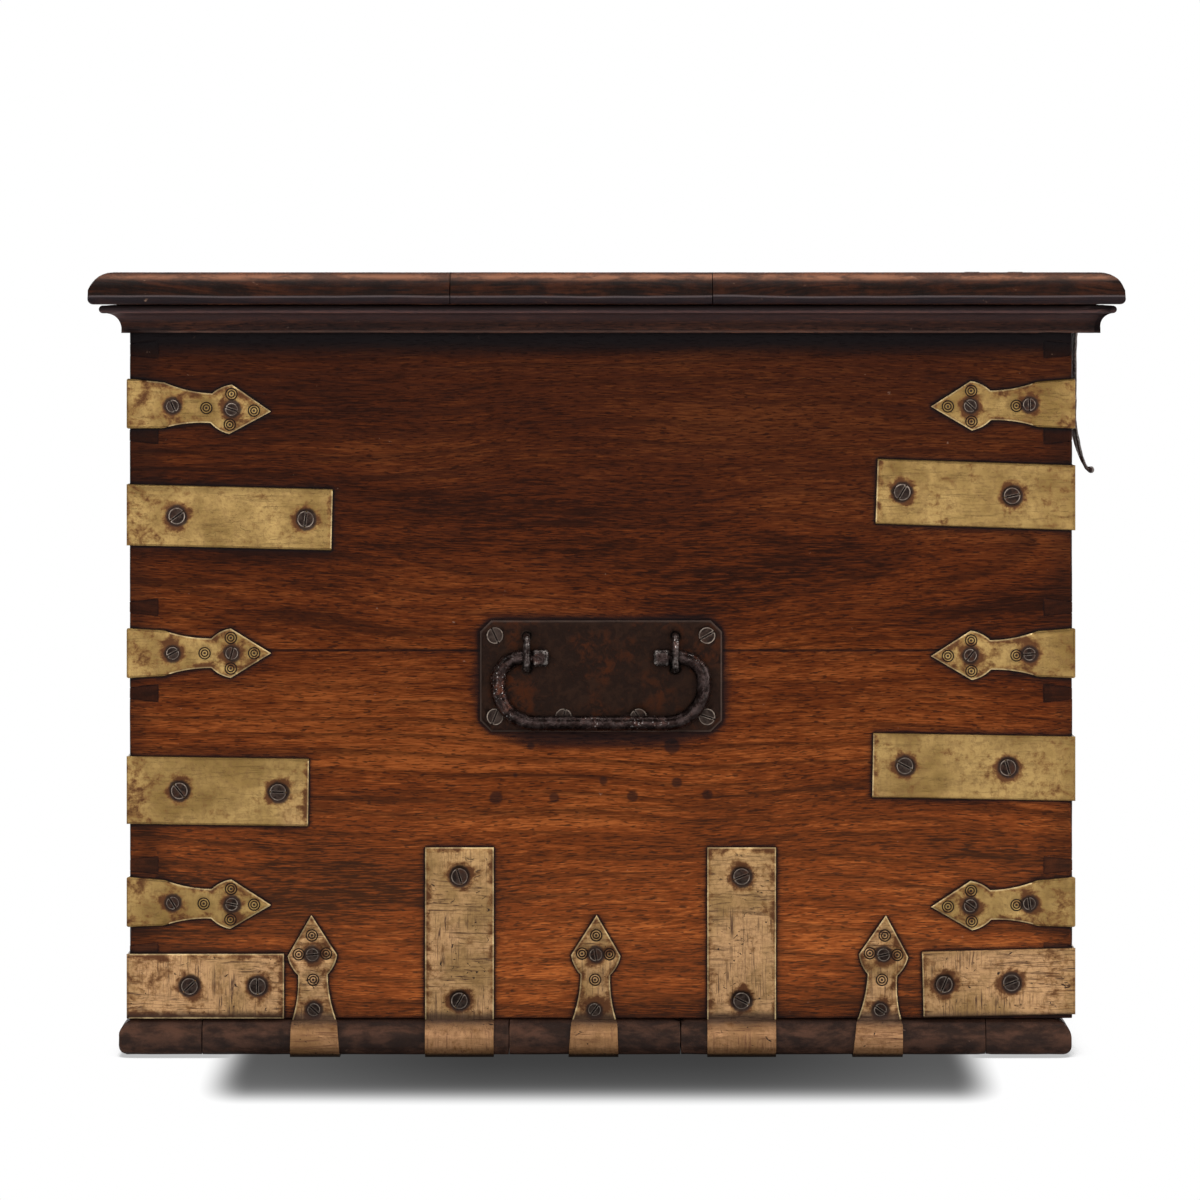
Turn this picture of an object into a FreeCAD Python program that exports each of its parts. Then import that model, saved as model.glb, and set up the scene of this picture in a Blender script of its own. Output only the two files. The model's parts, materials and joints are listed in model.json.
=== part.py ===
import FreeCAD, Part
import math
import os

os.makedirs("parts", exist_ok=True)

# A damchiya: a low dowry chest of dovetailed boards, bound with brass straps, with a lid that
# lifts on two hinges let into the cove moulding, a drop handle at each end and a hasp at the front.
# Millimetres. X is the length, the front faces -Y, Z is up, and the floor is Z = 0.

# Carcase
carcase_length = 1000.0
carcase_depth = 585.0
carcase_height = 442.0
board_thickness = 18.0
lower_board_share = 0.516
plank_gap = 0.4

# Dovetails: tails on the end boards, pins on the front and back boards
pin_pitch = 53.3
pin_inner_width = 11.0
pin_outer_width = 7.0

# Bottom planks, nailed up under the boards, with a rounded edge
bottom_thickness = 22.5
bottom_end_reach = 6.0
bottom_back_reach = 6.6
bottom_front_reach = -1.0
bottom_upper_round = 12.0
bottom_lower_round = 6.0
bottom_joint_shares = (0.09, 0.41, 0.59, 0.912)

# Cove moulding round the top of the carcase
cornice_height = 17.2
cornice_lip_height = 5.0
cornice_foot_height = 3.2
cornice_front_reach = 26.0
cornice_back_reach = 17.5
cornice_end_reach = 20.0
cornice_front_foot = 16.5
cornice_back_foot = 2.5
cornice_end_foot = 7.0
cove_bend_share = 0.28

# Lid
lid_thickness = 20.0
lid_rest_gap = 0.5
lid_front_reach = 31.0
lid_back_reach = 24.0
lid_end_reach = 28.0
lid_lower_round = 3.5
lid_round_width = 15.0
lid_round_drop = 11.0
lid_joint_shares = (0.398, 0.651)
batten_width = 60.0
batten_thickness = 16.0
batten_clearance = 8.0
batten_place_share = 0.22

# Brass straps
strap_thickness = 1.6
strap_corner_round = 1.2
leaf_reach = 88.0
leaf_root_width = 31.0
leaf_shank_width = 28.6
leaf_shank_length = 21.0
leaf_neck_width = 18.2
leaf_neck_setback = 37.0
leaf_shoulder_width = 30.6
leaf_shoulder_setback = 25.0
leaf_hollow = 1.4
leaf_swell = 1.2
leaf_screw_inset = 27.0
leaf_head_screw_setback = 24.4
leaf_level_shares = (0.862, 0.512, 0.163)
front_leaf_tilts = (-1.2, -1.2, -2.0)
back_leaf_tilts = (-3.2, 0.0, -1.2)
plain_width = 40.0
front_plain_level_shares = (0.730, 0.350, 0.052)
front_plain_reach_shares = (0.208, 0.212, 0.159)
front_plain_width_shares = (1.01, 1.0, 1.03)
front_plain_screw_shares = ((0.31, 0.87), (0.325, 0.84), (0.41, 0.857))
front_plain_tilts = (1.9, 1.0, -1.4)
back_plain_level_shares = (0.706, 0.320, 0.045)
back_plain_reach_shares = (0.215, 0.19, 0.164)
back_plain_width_shares = (0.95, 1.05, 1.0)
back_plain_screw_shares = ((0.235, 0.87), (0.28, 0.83), (0.39, 0.83))
back_plain_tilts = (-1.4, -0.8, 0.0)

# Straps at the foot, which run over the bottom planks and fold under them
foot_fold = 26.0
foot_pitch = 88.5
foot_leaf_rise = 88.0
foot_plain_rise = 130.0
foot_plain_width = 42.5
foot_corner_clearance = 100.0
end_foot_place_shares = (-0.303, -0.150, -0.008, 0.149, 0.293)
end_foot_tilts = (-1.5, 0.0, 1.3, 0.0, 3.4)
foot_leaf_screw_rise = 29.5
foot_plain_screw_rise = 35.0
foot_plain_screw_drop = 18.0

# Screws with slotted heads
screw_head_radius = 5.1
leaf_screw_head_radius = 3.9
screw_head_depth = 2.8
screw_head_proud = 0.3
screw_shank_radius = 2.1
screw_length = 13.0
screw_slot_width = 1.1
screw_slot_depth = 0.9
screw_clearance = 0.12
screw_turn = 47.0

# Drop handle
plate_width = 150.0
plate_height = 69.0
plate_thickness = 2.5
plate_chamfer = 7.0
plate_level_share = 0.480
plate_screw_inset = 9.3
plate_middle_screw_share = 0.155
rod_radius = 4.8
rod_gap = 2.0
bail_half_width = 63.8
bail_drop = 40.6
bail_upper_bend = 15.0
bail_lower_bend = 23.6
bail_axis_rise = 11.8
knob_length = 10.5
knob_size = 10.5
knob_chamfer = 1.6
knob_gap = 0.8
staple_bar_radius = 2.4
staple_spacing = 20.5
staple_place = 46.0
staple_bend = 6.0
staple_clench = 12.0
staple_clearance = 0.3

# Lid hinges
hinge_place_share = 0.3
hinge_width = 48.0
hinge_thickness = 2.5
hinge_body_length = 92.0
hinge_body_screw_shares = (0.2, 0.5, 0.8)
hinge_lid_length = 60.0
hinge_lid_screw_shares = (0.5, 0.8)
hinge_pivot_reach = 14.6
hinge_knuckle_radius = 4.0
hinge_knuckle_width = 18.0
hinge_gap = 0.3
hinge_swing_gap = 1.5
pin_radius = 1.95
pin_running_clearance = 0.05
pin_head_radius = 3.0
pin_head_thickness = 1.5

# Hasp: a flush strap on the lid, a leaf that hangs from it, and a staple on the front
hasp_strap_width = 34.0
hasp_strap_length = 85.0
hasp_strap_thickness = 2.0
hasp_strap_screw_shares = (0.45, 0.8)
hasp_pivot_reach = 4.3
hasp_pivot_rise = 6.0
hasp_knuckle_radius = 4.0
hasp_knuckle_width = 12.0
hasp_web_thickness = 3.0
hasp_thickness = 2.5
hasp_bar_width = 26.0
hasp_neck_width = 15.0
hasp_leaf_width = 46.0
hasp_length = 122.0
hasp_leaf_top = 84.0
hasp_leaf_widest = 101.0
hasp_bow = 2.0
hasp_bow_start = 42.0
hasp_bow_end = 84.0
hasp_tip_out = 7.0
hasp_scroll_radius = 2.6
slot_width = 9.0
slot_top = 47.0
slot_bottom = 79.0
lug_thickness = 6.0
lug_height = 15.0
lug_reach = 27.0
lug_level = 62.0
eye_radius = 3.6
eye_setback = 6.8
lug_plate_width = 46.0
lug_plate_height = 58.0
lug_plate_chamfer = 6.0
lug_plate_screw_inset = 8.5

# Cuts run past the faces that they open by this much
overrun = 5.0

half_length = carcase_length / 2
half_depth = carcase_depth / 2
bottom_z = strap_thickness
carcase_z = bottom_z + bottom_thickness
joint_z = carcase_z + carcase_height * lower_board_share
rim_z = carcase_z + carcase_height
cornice_z = rim_z - cornice_height
lid_z = rim_z + lid_rest_gap
lid_top = lid_z + lid_thickness

UP = FreeCAD.Vector(0, 0, 1)
ALONG = FreeCAD.Vector(1, 0, 0)
BACK = FreeCAD.Vector(0, 1, 0)

nodes = {}


def add_node(name, solids):
    nodes[name] = list(solids)


def box(low, high):
    size = FreeCAD.Vector(*high) - FreeCAD.Vector(*low)
    return Part.makeBox(size.x, size.y, size.z, FreeCAD.Vector(*low))


def outline_face(start, steps, place):
    """A face from a start point and steps: (end,) is a line and (middle, end) is an arc."""
    edges = []
    here = start
    for step in steps:
        if len(step) == 2:
            edges.append(Part.Arc(place(*here), place(*step[0]), place(*step[1])).toShape())
        else:
            edges.append(Part.LineSegment(place(*here), place(*step[0])).toShape())
        here = step[-1]
    edges.append(Part.LineSegment(place(*here), place(*start)).toShape())
    return Part.Face(Part.Wire(edges))


def turn_arc(centre, radius, first, last):
    """An arc step about a centre, from one angle in degrees to another."""
    points = []
    for angle in ((first + last) / 2, last):
        turn = math.radians(angle)
        points.append((centre[0] + radius * math.cos(turn), centre[1] + radius * math.sin(turn)))
    return tuple(points)


class Side:
    """An outer face of the carcase: a place on it is (across, up, out)."""

    def __init__(self, face, out, across, half_width):
        self.base = out * face
        self.out = out
        self.across = across
        self.half_width = half_width

    def at(self, across, up, out):
        return self.base + self.across * across + UP * up + self.out * out

    def prism(self, start, steps, low, high):
        face = outline_face(start, steps, lambda across, up: self.at(across, up, low))
        return face.extrude(self.out * (high - low))


left = Side(half_length, -ALONG, -BACK, half_depth)
right = Side(half_length, ALONG, -BACK, half_depth)
front = Side(half_depth, -BACK, ALONG, half_length)
back = Side(half_depth, BACK, ALONG, half_length)
ends = {"left": left, "right": right}
long_sides = {"front": front, "back": back}


# Blocks with a moulded edge

def half_bar(edge, reach, across, along, run):
    """Half of a long bar whose outer edge has the moulding."""
    start, steps = edge(reach)
    face = outline_face(start, steps, lambda out, up: across * out + UP * up - along * run)
    return face.extrude(along * (2 * run))


def moulded_block(edges, end_reach, front_reach, back_reach):
    """Where a bar along X and a bar along Y overlap, so that the moulding mitres at each corner."""
    run = carcase_length
    end_edge, front_edge, back_edge = edges
    cross_bar = half_bar(end_edge, half_length + end_reach, ALONG, BACK, run).fuse(
        half_bar(end_edge, half_length + end_reach, -ALONG, BACK, run))
    long_bar = half_bar(front_edge, half_depth + front_reach, -BACK, ALONG, run).fuse(
        half_bar(back_edge, half_depth + back_reach, BACK, ALONG, run))
    return cross_bar.common(long_bar).removeSplitter()


def bottom_edge(grow):
    def edge(reach):
        lower = (reach - bottom_lower_round, bottom_z + bottom_lower_round)
        upper = (reach - bottom_upper_round, carcase_z - bottom_upper_round)
        return (0, bottom_z - grow), (
            ((lower[0], bottom_z - grow),),
            turn_arc(lower, bottom_lower_round + grow, -90, 0),
            ((reach + grow, upper[1]),),
            turn_arc(upper, bottom_upper_round + grow, 0, 90),
            ((0, carcase_z + grow),))
    return edge


def cornice_edge(foot, reach_beyond):
    def edge(reach):
        nose = cornice_lip_height / 2
        foot_out = reach - reach_beyond + foot
        cove_low = cornice_z + cornice_foot_height
        cove_high = rim_z - cornice_lip_height
        cove_out = reach - nose
        middle = (foot_out + (cove_out - foot_out) * cove_bend_share,
                  cove_high - (cove_high - cove_low) * cove_bend_share)
        return (0, cornice_z), (
            ((foot_out, cornice_z),),
            ((foot_out, cove_low),),
            (middle, (cove_out, cove_high)),
            turn_arc((cove_out, rim_z - nose), nose, -90, 90),
            ((0, rim_z),))
    return edge


def lid_edge(shrink):
    """The lid's rounded edge, moved in by shrink at the side and the top."""
    def edge(reach):
        out = reach - shrink
        top = lid_top - shrink
        radius = (lid_round_width ** 2 + lid_round_drop ** 2) / (2 * lid_round_drop)
        first = math.degrees(math.asin((radius - lid_round_drop) / radius))
        lower = (out - lid_lower_round, lid_z + lid_lower_round)
        return (0, lid_z), (
            ((lower[0], lid_z),),
            turn_arc(lower, lid_lower_round, -90, 0),
            ((out, top - lid_round_drop),),
            turn_arc((out - lid_round_width, top - radius), radius, first, 90),
            ((0, top),))
    return edge


def slab_blocks(grow):
    edge = bottom_edge(grow)
    return moulded_block((edge, edge, edge), bottom_end_reach, bottom_front_reach, bottom_back_reach)


def cut_in_planks(block, low, high, shares):
    """Planks along X, split where the shares of the depth from low to high say."""
    bounds = [low - overrun]
    for share in shares:
        bounds.append(low + (high - low) * share)
    bounds.append(high + overrun)
    planks = []
    for number in range(len(bounds) - 1):
        first = bounds[number] + (plank_gap / 2 if number else 0)
        last = bounds[number + 1] - (plank_gap / 2 if number < len(shares) else 0)
        slice_box = box((-carcase_length, first, -overrun), (carcase_length, last, lid_top + overrun))
        planks.append(block.common(slice_box))
    return planks


# Screws, gathered by the node that holds them

screws = {}
screw_holes = {}


def screw_solid(head_radius, radius_growth, depth_growth):
    head = Part.makeCone(screw_shank_radius + radius_growth, head_radius + radius_growth,
                         screw_head_depth, FreeCAD.Vector(0, 0, -screw_head_depth))
    collar = Part.makeCylinder(head_radius + radius_growth, screw_head_proud + depth_growth)
    shank = Part.makeCylinder(screw_shank_radius + radius_growth, screw_length + depth_growth,
                              FreeCAD.Vector(0, 0, -screw_length - depth_growth))
    return head.fuse([collar, shank]).removeSplitter()


def slotted_screw(head_radius):
    slot = box((-head_radius - overrun, -screw_slot_width / 2, screw_head_proud - screw_slot_depth),
               (head_radius + overrun, screw_slot_width / 2, screw_head_proud + overrun))
    return screw_solid(head_radius, 0, 0).cut(slot)


screw_masters = {radius: (slotted_screw(radius), screw_solid(radius, screw_clearance, screw_clearance))
                 for radius in (screw_head_radius, leaf_screw_head_radius)}


def add_screw(group, place, out, head_radius=screw_head_radius):
    """A screw with its head at a place, and the hole that it needs. Its slot lies as it was driven."""
    placed = screws.setdefault(group, [])
    turn = FreeCAD.Rotation(UP, screw_turn * len(placed))
    stand = FreeCAD.Rotation(UP, out)
    screw, hole = [master.copy() for master in screw_masters[head_radius]]
    screw.Placement = FreeCAD.Placement(place, stand.multiply(turn))
    hole.Placement = FreeCAD.Placement(place, stand)
    placed.append(screw)
    screw_holes.setdefault(group, []).append(hole)


def drilled(solid, *groups):
    holes = [hole for group in groups for hole in screw_holes.get(group, [])
             if hole.BoundBox.intersect(solid.BoundBox)]
    return solid.cut(holes) if holes else solid


# Outlines of the straps: along runs from the root to the tip, wide is the distance from the middle

def leaf_outline(reach, root):
    """A strap that narrows to a neck and ends in a pointed leaf; its root starts at root."""
    neck = reach - leaf_neck_setback
    shoulder = reach - leaf_shoulder_setback
    shank = leaf_shank_length
    half_root, half_shank = leaf_root_width / 2, leaf_shank_width / 2
    half_neck, half_shoulder = leaf_neck_width / 2, leaf_shoulder_width / 2
    return (root, half_root), (
        ((0, half_root),),
        ((shank, half_shank),),
        (((shank + neck) / 2, (half_shank + half_neck) / 2 - leaf_hollow), (neck, half_neck)),
        (((neck + shoulder) / 2, (half_neck + half_shoulder) / 2 + leaf_swell), (shoulder, half_shoulder)),
        ((reach, 0),),
        ((shoulder, -half_shoulder),),
        (((neck + shoulder) / 2, -(half_neck + half_shoulder) / 2 - leaf_swell), (neck, -half_neck)),
        (((shank + neck) / 2, -(half_shank + half_neck) / 2 + leaf_hollow), (shank, -half_shank)),
        ((0, -half_root),),
        ((root, -half_root),))


def plain_outline(reach, root, width):
    return (root, width / 2), (
        ((0, width / 2),),
        ((reach, width / 2),),
        ((reach, -width / 2),),
        ((0, -width / 2),),
        ((root, -width / 2),))


def moved_outline(outline, place):
    """The same outline with each of its points moved by place."""
    start, steps = outline
    return place(*start), tuple(tuple(place(*point) for point in step) for step in steps)


def tilted(along, wide, tilt):
    """A point of a strap turned about its root. The root itself stays on the corner."""
    if along <= 0:
        return along, wide
    turn = math.radians(tilt)
    return (along * math.cos(turn) - wide * math.sin(turn), along * math.sin(turn) + wide * math.cos(turn))


# Corner straps

class Strap:
    """One corner strap: its level, its outline, its screws and its tilt on the end."""

    def __init__(self, level, outline, screw_places, head_radius, tilt):
        self.level = level
        self.outline = outline
        self.screw_places = screw_places
        self.head_radius = head_radius
        self.tilt = tilt


def leaf_straps(tilts):
    outline = leaf_outline(leaf_reach, -strap_thickness)
    places = (leaf_screw_inset, leaf_reach - leaf_head_screw_setback)
    return [Strap(carcase_z + carcase_height * share, outline, places, leaf_screw_head_radius, tilt)
            for share, tilt in zip(leaf_level_shares, tilts)]


def plain_straps(level_shares, reach_shares, width_shares, screw_shares, tilts):
    straps = []
    for number, level_share in enumerate(level_shares):
        reach = carcase_depth * reach_shares[number]
        outline = plain_outline(reach, -strap_thickness, plain_width * width_shares[number])
        places = [reach * share for share in screw_shares[number]]
        straps.append(Strap(carcase_z + carcase_height * level_share, outline, places,
                            screw_head_radius, tilts[number]))
    return straps


def strap_arm(side, corner, strap, tilt, group):
    """One arm of a corner strap on one side, whose corner lies at +1 or -1 of its half width."""
    def place(along, wide):
        along, wide = tilted(along, wide, tilt)
        return corner * (side.half_width - along), strap.level + wide

    for along in strap.screw_places:
        across, up = place(along, 0)
        add_screw(group, side.at(across, up, strap_thickness), side.out, strap.head_radius)
    start, steps = moved_outline(strap.outline, place)
    return side.prism(start, steps, 0, strap_thickness)


def corner_strap(end_name, long_name, strap):
    end, long_side = ends[end_name], long_sides[long_name]
    end_corner = 1 if long_name == "front" else -1
    long_corner = 1 if end_name == "right" else -1
    whole = strap_arm(end, end_corner, strap, strap.tilt, end_name + "_screws").fuse(
        strap_arm(long_side, long_corner, strap, 0, long_name + "_screws")).removeSplitter()
    corner = end.at(end_corner * (half_depth + strap_thickness), strap.level, strap_thickness)
    upright = [edge for edge in whole.Edges
               if abs(edge.CenterOfMass.x - corner.x) + abs(edge.CenterOfMass.y - corner.y) < strap_corner_round]
    return whole.makeFillet(strap_corner_round, upright)


strap_kinds = {
    "front": {"leaf": leaf_straps(front_leaf_tilts),
              "plain": plain_straps(front_plain_level_shares, front_plain_reach_shares,
                                    front_plain_width_shares, front_plain_screw_shares,
                                    front_plain_tilts)},
    "back": {"leaf": leaf_straps(back_leaf_tilts),
             "plain": plain_straps(back_plain_level_shares, back_plain_reach_shares,
                                   back_plain_width_shares, back_plain_screw_shares,
                                   back_plain_tilts)},
}

for end_name in ends:
    for long_name in long_sides:
        for kind, straps in strap_kinds[long_name].items():
            add_node("{}_{}_{}_straps".format(long_name, end_name, kind),
                     [corner_strap(end_name, long_name, strap) for strap in straps])


# Straps at the foot

carcase_block = box((-half_length, -half_depth, carcase_z), (half_length, half_depth, rim_z))
bottom_block = slab_blocks(0)
brass_shell = slab_blocks(strap_thickness).cut([bottom_block, carcase_block])


def foot_strap(side, side_name, across, tilt, is_leaf):
    """An upright strap that follows the edge of the bottom planks and folds under them."""
    if is_leaf:
        outline = leaf_outline(foot_leaf_rise, -overrun)
        screw_ups = (foot_leaf_screw_rise, foot_leaf_rise - leaf_head_screw_setback)
        head_radius = leaf_screw_head_radius
    else:
        outline = plain_outline(foot_plain_rise, -overrun, foot_plain_width)
        screw_ups = (foot_plain_screw_rise, foot_plain_rise - foot_plain_screw_drop)
        head_radius = screw_head_radius

    def place(along, wide):
        along, wide = tilted(along, wide, tilt)
        return across + wide, along

    start, steps = moved_outline(outline, place)
    upright = side.prism(start, steps, 0, strap_thickness)
    stem = upright.common(box((-carcase_length, -carcase_length, carcase_z - bottom_upper_round),
                              (carcase_length, carcase_length, rim_z))).cut(bottom_block)
    fold = brass_shell.common(side.prism(start, steps, -foot_fold, bottom_thickness))
    for up in screw_ups:
        screw_across, screw_up = place(up, 0)
        add_screw(side_name + "_screws", side.at(screw_across, screw_up, strap_thickness), side.out,
                  head_radius)
    return stem.fuse(fold).removeSplitter()


def foot_places(side_name, side):
    """Where each foot strap stands, how it tilts and whether it is a leaf; they take turns."""
    if side_name in ends:
        return [(carcase_depth * share, tilt, number % 2 == 0)
                for number, (share, tilt) in enumerate(zip(end_foot_place_shares, end_foot_tilts))]
    reach = int((half_length - foot_corner_clearance) / foot_pitch)
    return [(foot_pitch * number, 0, number % 2 == 0) for number in range(-reach, reach + 1)]


for side_name, side in list(ends.items()) + list(long_sides.items()):
    for kind, wanted in (("leaf", True), ("plain", False)):
        straps = [foot_strap(side, side_name, across, tilt, is_leaf)
                  for across, tilt, is_leaf in foot_places(side_name, side) if is_leaf == wanted]
        add_node("{}_foot_{}_straps".format(side_name, kind), straps)


# Drop handles

plate_level = carcase_z + carcase_height * plate_level_share
bail_level = plate_level + bail_axis_rise
bail_out = plate_thickness + rod_gap + rod_radius
staple_low = bail_level - rod_radius - staple_clearance - staple_bar_radius
staple_high = staple_low + staple_spacing
staple_out = bail_out + rod_radius + staple_clearance + staple_bar_radius


def chamfered_outline(width, height, level, chamfer):
    half = width / 2
    low, high = level - height / 2, level + height / 2
    return (half - chamfer, low), (
        ((half, low + chamfer),), ((half, high - chamfer),), ((half - chamfer, high),),
        ((chamfer - half, high),), ((-half, high - chamfer),), ((-half, low + chamfer),),
        ((chamfer - half, low),))


def bail(side):
    """A rod bent down into a flat loop, with a square knob on each end inside its staples."""
    knob_end = staple_place - staple_bar_radius - knob_gap
    bar = bail_level - bail_drop

    def half_path(hand):
        upper = (bail_half_width - bail_upper_bend, bail_level - bail_upper_bend)
        lower = (bail_half_width - bail_lower_bend, bar + bail_lower_bend)
        start = (knob_end - knob_length / 2, bail_level)
        steps = ((upper[0], bail_level), turn_arc(upper, bail_upper_bend, 90, 0),
                 (bail_half_width, lower[1]), turn_arc(lower, bail_lower_bend, 0, -90), (0, bar))
        edges = []
        here = start
        for step in steps:
            if isinstance(step[0], tuple):
                points = [side.at(hand * across, up, bail_out) for across, up in (here, step[0], step[1])]
                edges.append(Part.Arc(*points).toShape())
                here = step[1]
            else:
                ends_of_line = [side.at(hand * across, up, bail_out) for across, up in (here, step)]
                edges.append(Part.LineSegment(*ends_of_line).toShape())
                here = step
        return edges

    path = Part.Wire(half_path(1) + list(reversed(half_path(-1))))
    start = side.at(knob_end - knob_length / 2, bail_level, bail_out)
    section = Part.Wire([Part.Circle(start, side.across, rod_radius).toShape()])
    rod = path.makePipeShell([section], True, False)
    knobs = []
    for hand in (1, -1):
        low = side.at(hand * knob_end, bail_level - knob_size / 2, bail_out - knob_size / 2)
        high = side.at(hand * (knob_end - knob_length), bail_level + knob_size / 2, bail_out + knob_size / 2)
        low_corner = [min(a, b) for a, b in zip(low, high)]
        high_corner = [max(a, b) for a, b in zip(low, high)]
        knob = box(low_corner, high_corner)
        knobs.append(knob.makeChamfer(knob_chamfer, knob.Edges))
    return rod.fuse(knobs)


def handle_staple(side, across):
    """A bent bar round the rod, whose legs pass the board and are clenched inside."""
    inner = -board_thickness - staple_bar_radius
    knee = staple_out - staple_bend
    low = (inner, staple_low)
    place = lambda out, up: side.at(across, up, out)
    low_bend = turn_arc((knee, staple_low + staple_bend), staple_bend, -90, 0)
    high_bend = turn_arc((knee, staple_high - staple_bend), staple_bend, 0, 90)
    edges = [Part.LineSegment(place(*low), place(knee, staple_low)).toShape(),
             Part.Arc(place(knee, staple_low), place(*low_bend[0]), place(*low_bend[1])).toShape(),
             Part.LineSegment(place(*low_bend[1]), place(staple_out, staple_high - staple_bend)).toShape(),
             Part.Arc(place(staple_out, staple_high - staple_bend), place(*high_bend[0]),
                      place(*high_bend[1])).toShape(),
             Part.LineSegment(place(*high_bend[1]), place(inner, staple_high)).toShape()]
    section = Part.Wire([Part.Circle(place(*low), side.out, staple_bar_radius).toShape()])
    loop = Part.Wire(edges).makePipeShell([section], True, False)
    clenches = []
    for level, way in ((staple_low, -1), (staple_high, 1)):
        clenches.append(Part.makeSphere(staple_bar_radius, place(inner, level)))
        clenches.append(Part.makeCylinder(staple_bar_radius, staple_clench, place(inner, level), UP * way))
    return loop.fuse(clenches).removeSplitter()


def staple_holes(side):
    holes = []
    depth = board_thickness + plate_thickness + 2 * overrun
    for across in (-staple_place, staple_place):
        for level in (staple_low, staple_high):
            holes.append(Part.makeCylinder(staple_bar_radius + screw_clearance, depth,
                                           side.at(across, level, -board_thickness - overrun), side.out))
    return holes


def handle_plate(side, side_name):
    start, steps = chamfered_outline(plate_width, plate_height, plate_level, plate_chamfer)
    plate = side.prism(start, steps, 0, plate_thickness)
    corner_across = plate_width / 2 - plate_screw_inset
    corner_up = plate_height / 2 - plate_screw_inset
    places = [(hand * corner_across, way * corner_up) for hand in (-1, 1) for way in (-1, 1)]
    places += [(hand * plate_width * plate_middle_screw_share, -corner_up) for hand in (-1, 1)]
    group = side_name + "_screws"
    for across, up in places:
        add_screw(group, side.at(across, plate_level + up, plate_thickness), side.out)
    return plate.cut(staple_holes(side))


for side_name, side in ends.items():
    plate = handle_plate(side, side_name)
    add_node(side_name + "_handle_plate", [drilled(plate, side_name + "_screws")])
    add_node(side_name + "_handle_staples",
             [handle_staple(side, across) for across in (-staple_place, staple_place)])
    add_node(side_name + "_bail", [bail(side)])


# Lid hinges: the leaf on the back passes behind the cove moulding, and its knuckles lie in a pocket

hinge_pivot_z = lid_z - hinge_gap - hinge_knuckle_radius


def hinge_body_leaf(place_x):
    half = hinge_width / 2
    middle = hinge_knuckle_width / 2 + hinge_gap
    pivot = FreeCAD.Vector(place_x, half_depth + hinge_pivot_reach, hinge_pivot_z)
    shelf_low, shelf_top = pivot.z - hinge_thickness / 2, pivot.z + hinge_thickness / 2
    leaf = box((place_x - half, half_depth, cornice_z - hinge_body_length),
               (place_x + half, half_depth + hinge_thickness, shelf_top))
    shelf = box((place_x - half, half_depth, shelf_low), (place_x + half, pivot.y, shelf_top))
    room = box((place_x - middle, pivot.y - hinge_knuckle_radius - hinge_swing_gap, shelf_low - overrun),
               (place_x + middle, pivot.y + overrun, lid_top))
    bore_hole = Part.makeCylinder(pin_radius + pin_running_clearance, hinge_width + 2 * overrun,
                                  pivot - ALONG * (half + overrun), ALONG)
    barrels = [Part.makeCylinder(hinge_knuckle_radius, half - middle, pivot - ALONG * half, ALONG),
               Part.makeCylinder(hinge_knuckle_radius, half - middle, pivot + ALONG * middle, ALONG)]
    return leaf.fuse([shelf.cut(room)] + barrels).cut(bore_hole).removeSplitter()


def hinge_pocket(place_x):
    """The room in the cove moulding for the leaf, the knuckles and the heads of the pin."""
    half = hinge_width / 2 + 2 * hinge_gap + pin_head_thickness + hinge_swing_gap
    knuckle_low = hinge_pivot_z - hinge_knuckle_radius - hinge_swing_gap
    behind_leaf = box((place_x - hinge_width / 2 - hinge_gap, half_depth - overrun, cornice_z - overrun),
                      (place_x + hinge_width / 2 + hinge_gap, half_depth + hinge_thickness + hinge_gap, lid_z))
    return behind_leaf.fuse(box((place_x - half, half_depth - overrun, knuckle_low),
                                (place_x + half, half_depth + lid_back_reach, lid_z)))


def hinge_lid_leaf(place_x, grow):
    """The leaf let into the underside of the lid; grow gives the shape of its recess."""
    half = hinge_width / 2
    pivot = FreeCAD.Vector(place_x, half_depth + hinge_pivot_reach, hinge_pivot_z)
    link_out = pivot.y + hinge_knuckle_radius
    link_half = hinge_knuckle_width / 2
    leaf = box((place_x - half - grow, half_depth - hinge_lid_length - grow, lid_z),
               (place_x + half + grow, half_depth + lid_back_reach / 2, lid_z + hinge_thickness + grow))
    tongue = box((place_x - link_half - grow, half_depth, lid_z),
                 (place_x + link_half + grow, link_out + grow, lid_z + hinge_thickness + grow))
    link = box((place_x - link_half, link_out - hinge_thickness, hinge_pivot_z),
               (place_x + link_half, link_out, lid_z + hinge_thickness))
    barrel = Part.makeCylinder(hinge_knuckle_radius, hinge_knuckle_width, pivot - ALONG * link_half, ALONG)
    bore_hole = Part.makeCylinder(pin_radius + pin_running_clearance, hinge_knuckle_width + 2 * overrun,
                                  pivot - ALONG * (link_half + overrun), ALONG)
    if grow:
        return leaf.fuse(tongue).removeSplitter()
    return leaf.fuse([tongue, link, barrel]).cut(bore_hole).removeSplitter()


def headed_pin(middle, along, length):
    """A pin with a flat head at both ends."""
    start = middle - along * (length / 2)
    shank = Part.makeCylinder(pin_radius, length, start, along)
    first = Part.makeCylinder(pin_head_radius, pin_head_thickness, start - along * pin_head_thickness, along)
    last = Part.makeCylinder(pin_head_radius, pin_head_thickness, start + along * length, along)
    return shank.fuse([first, last]).removeSplitter()


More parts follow.
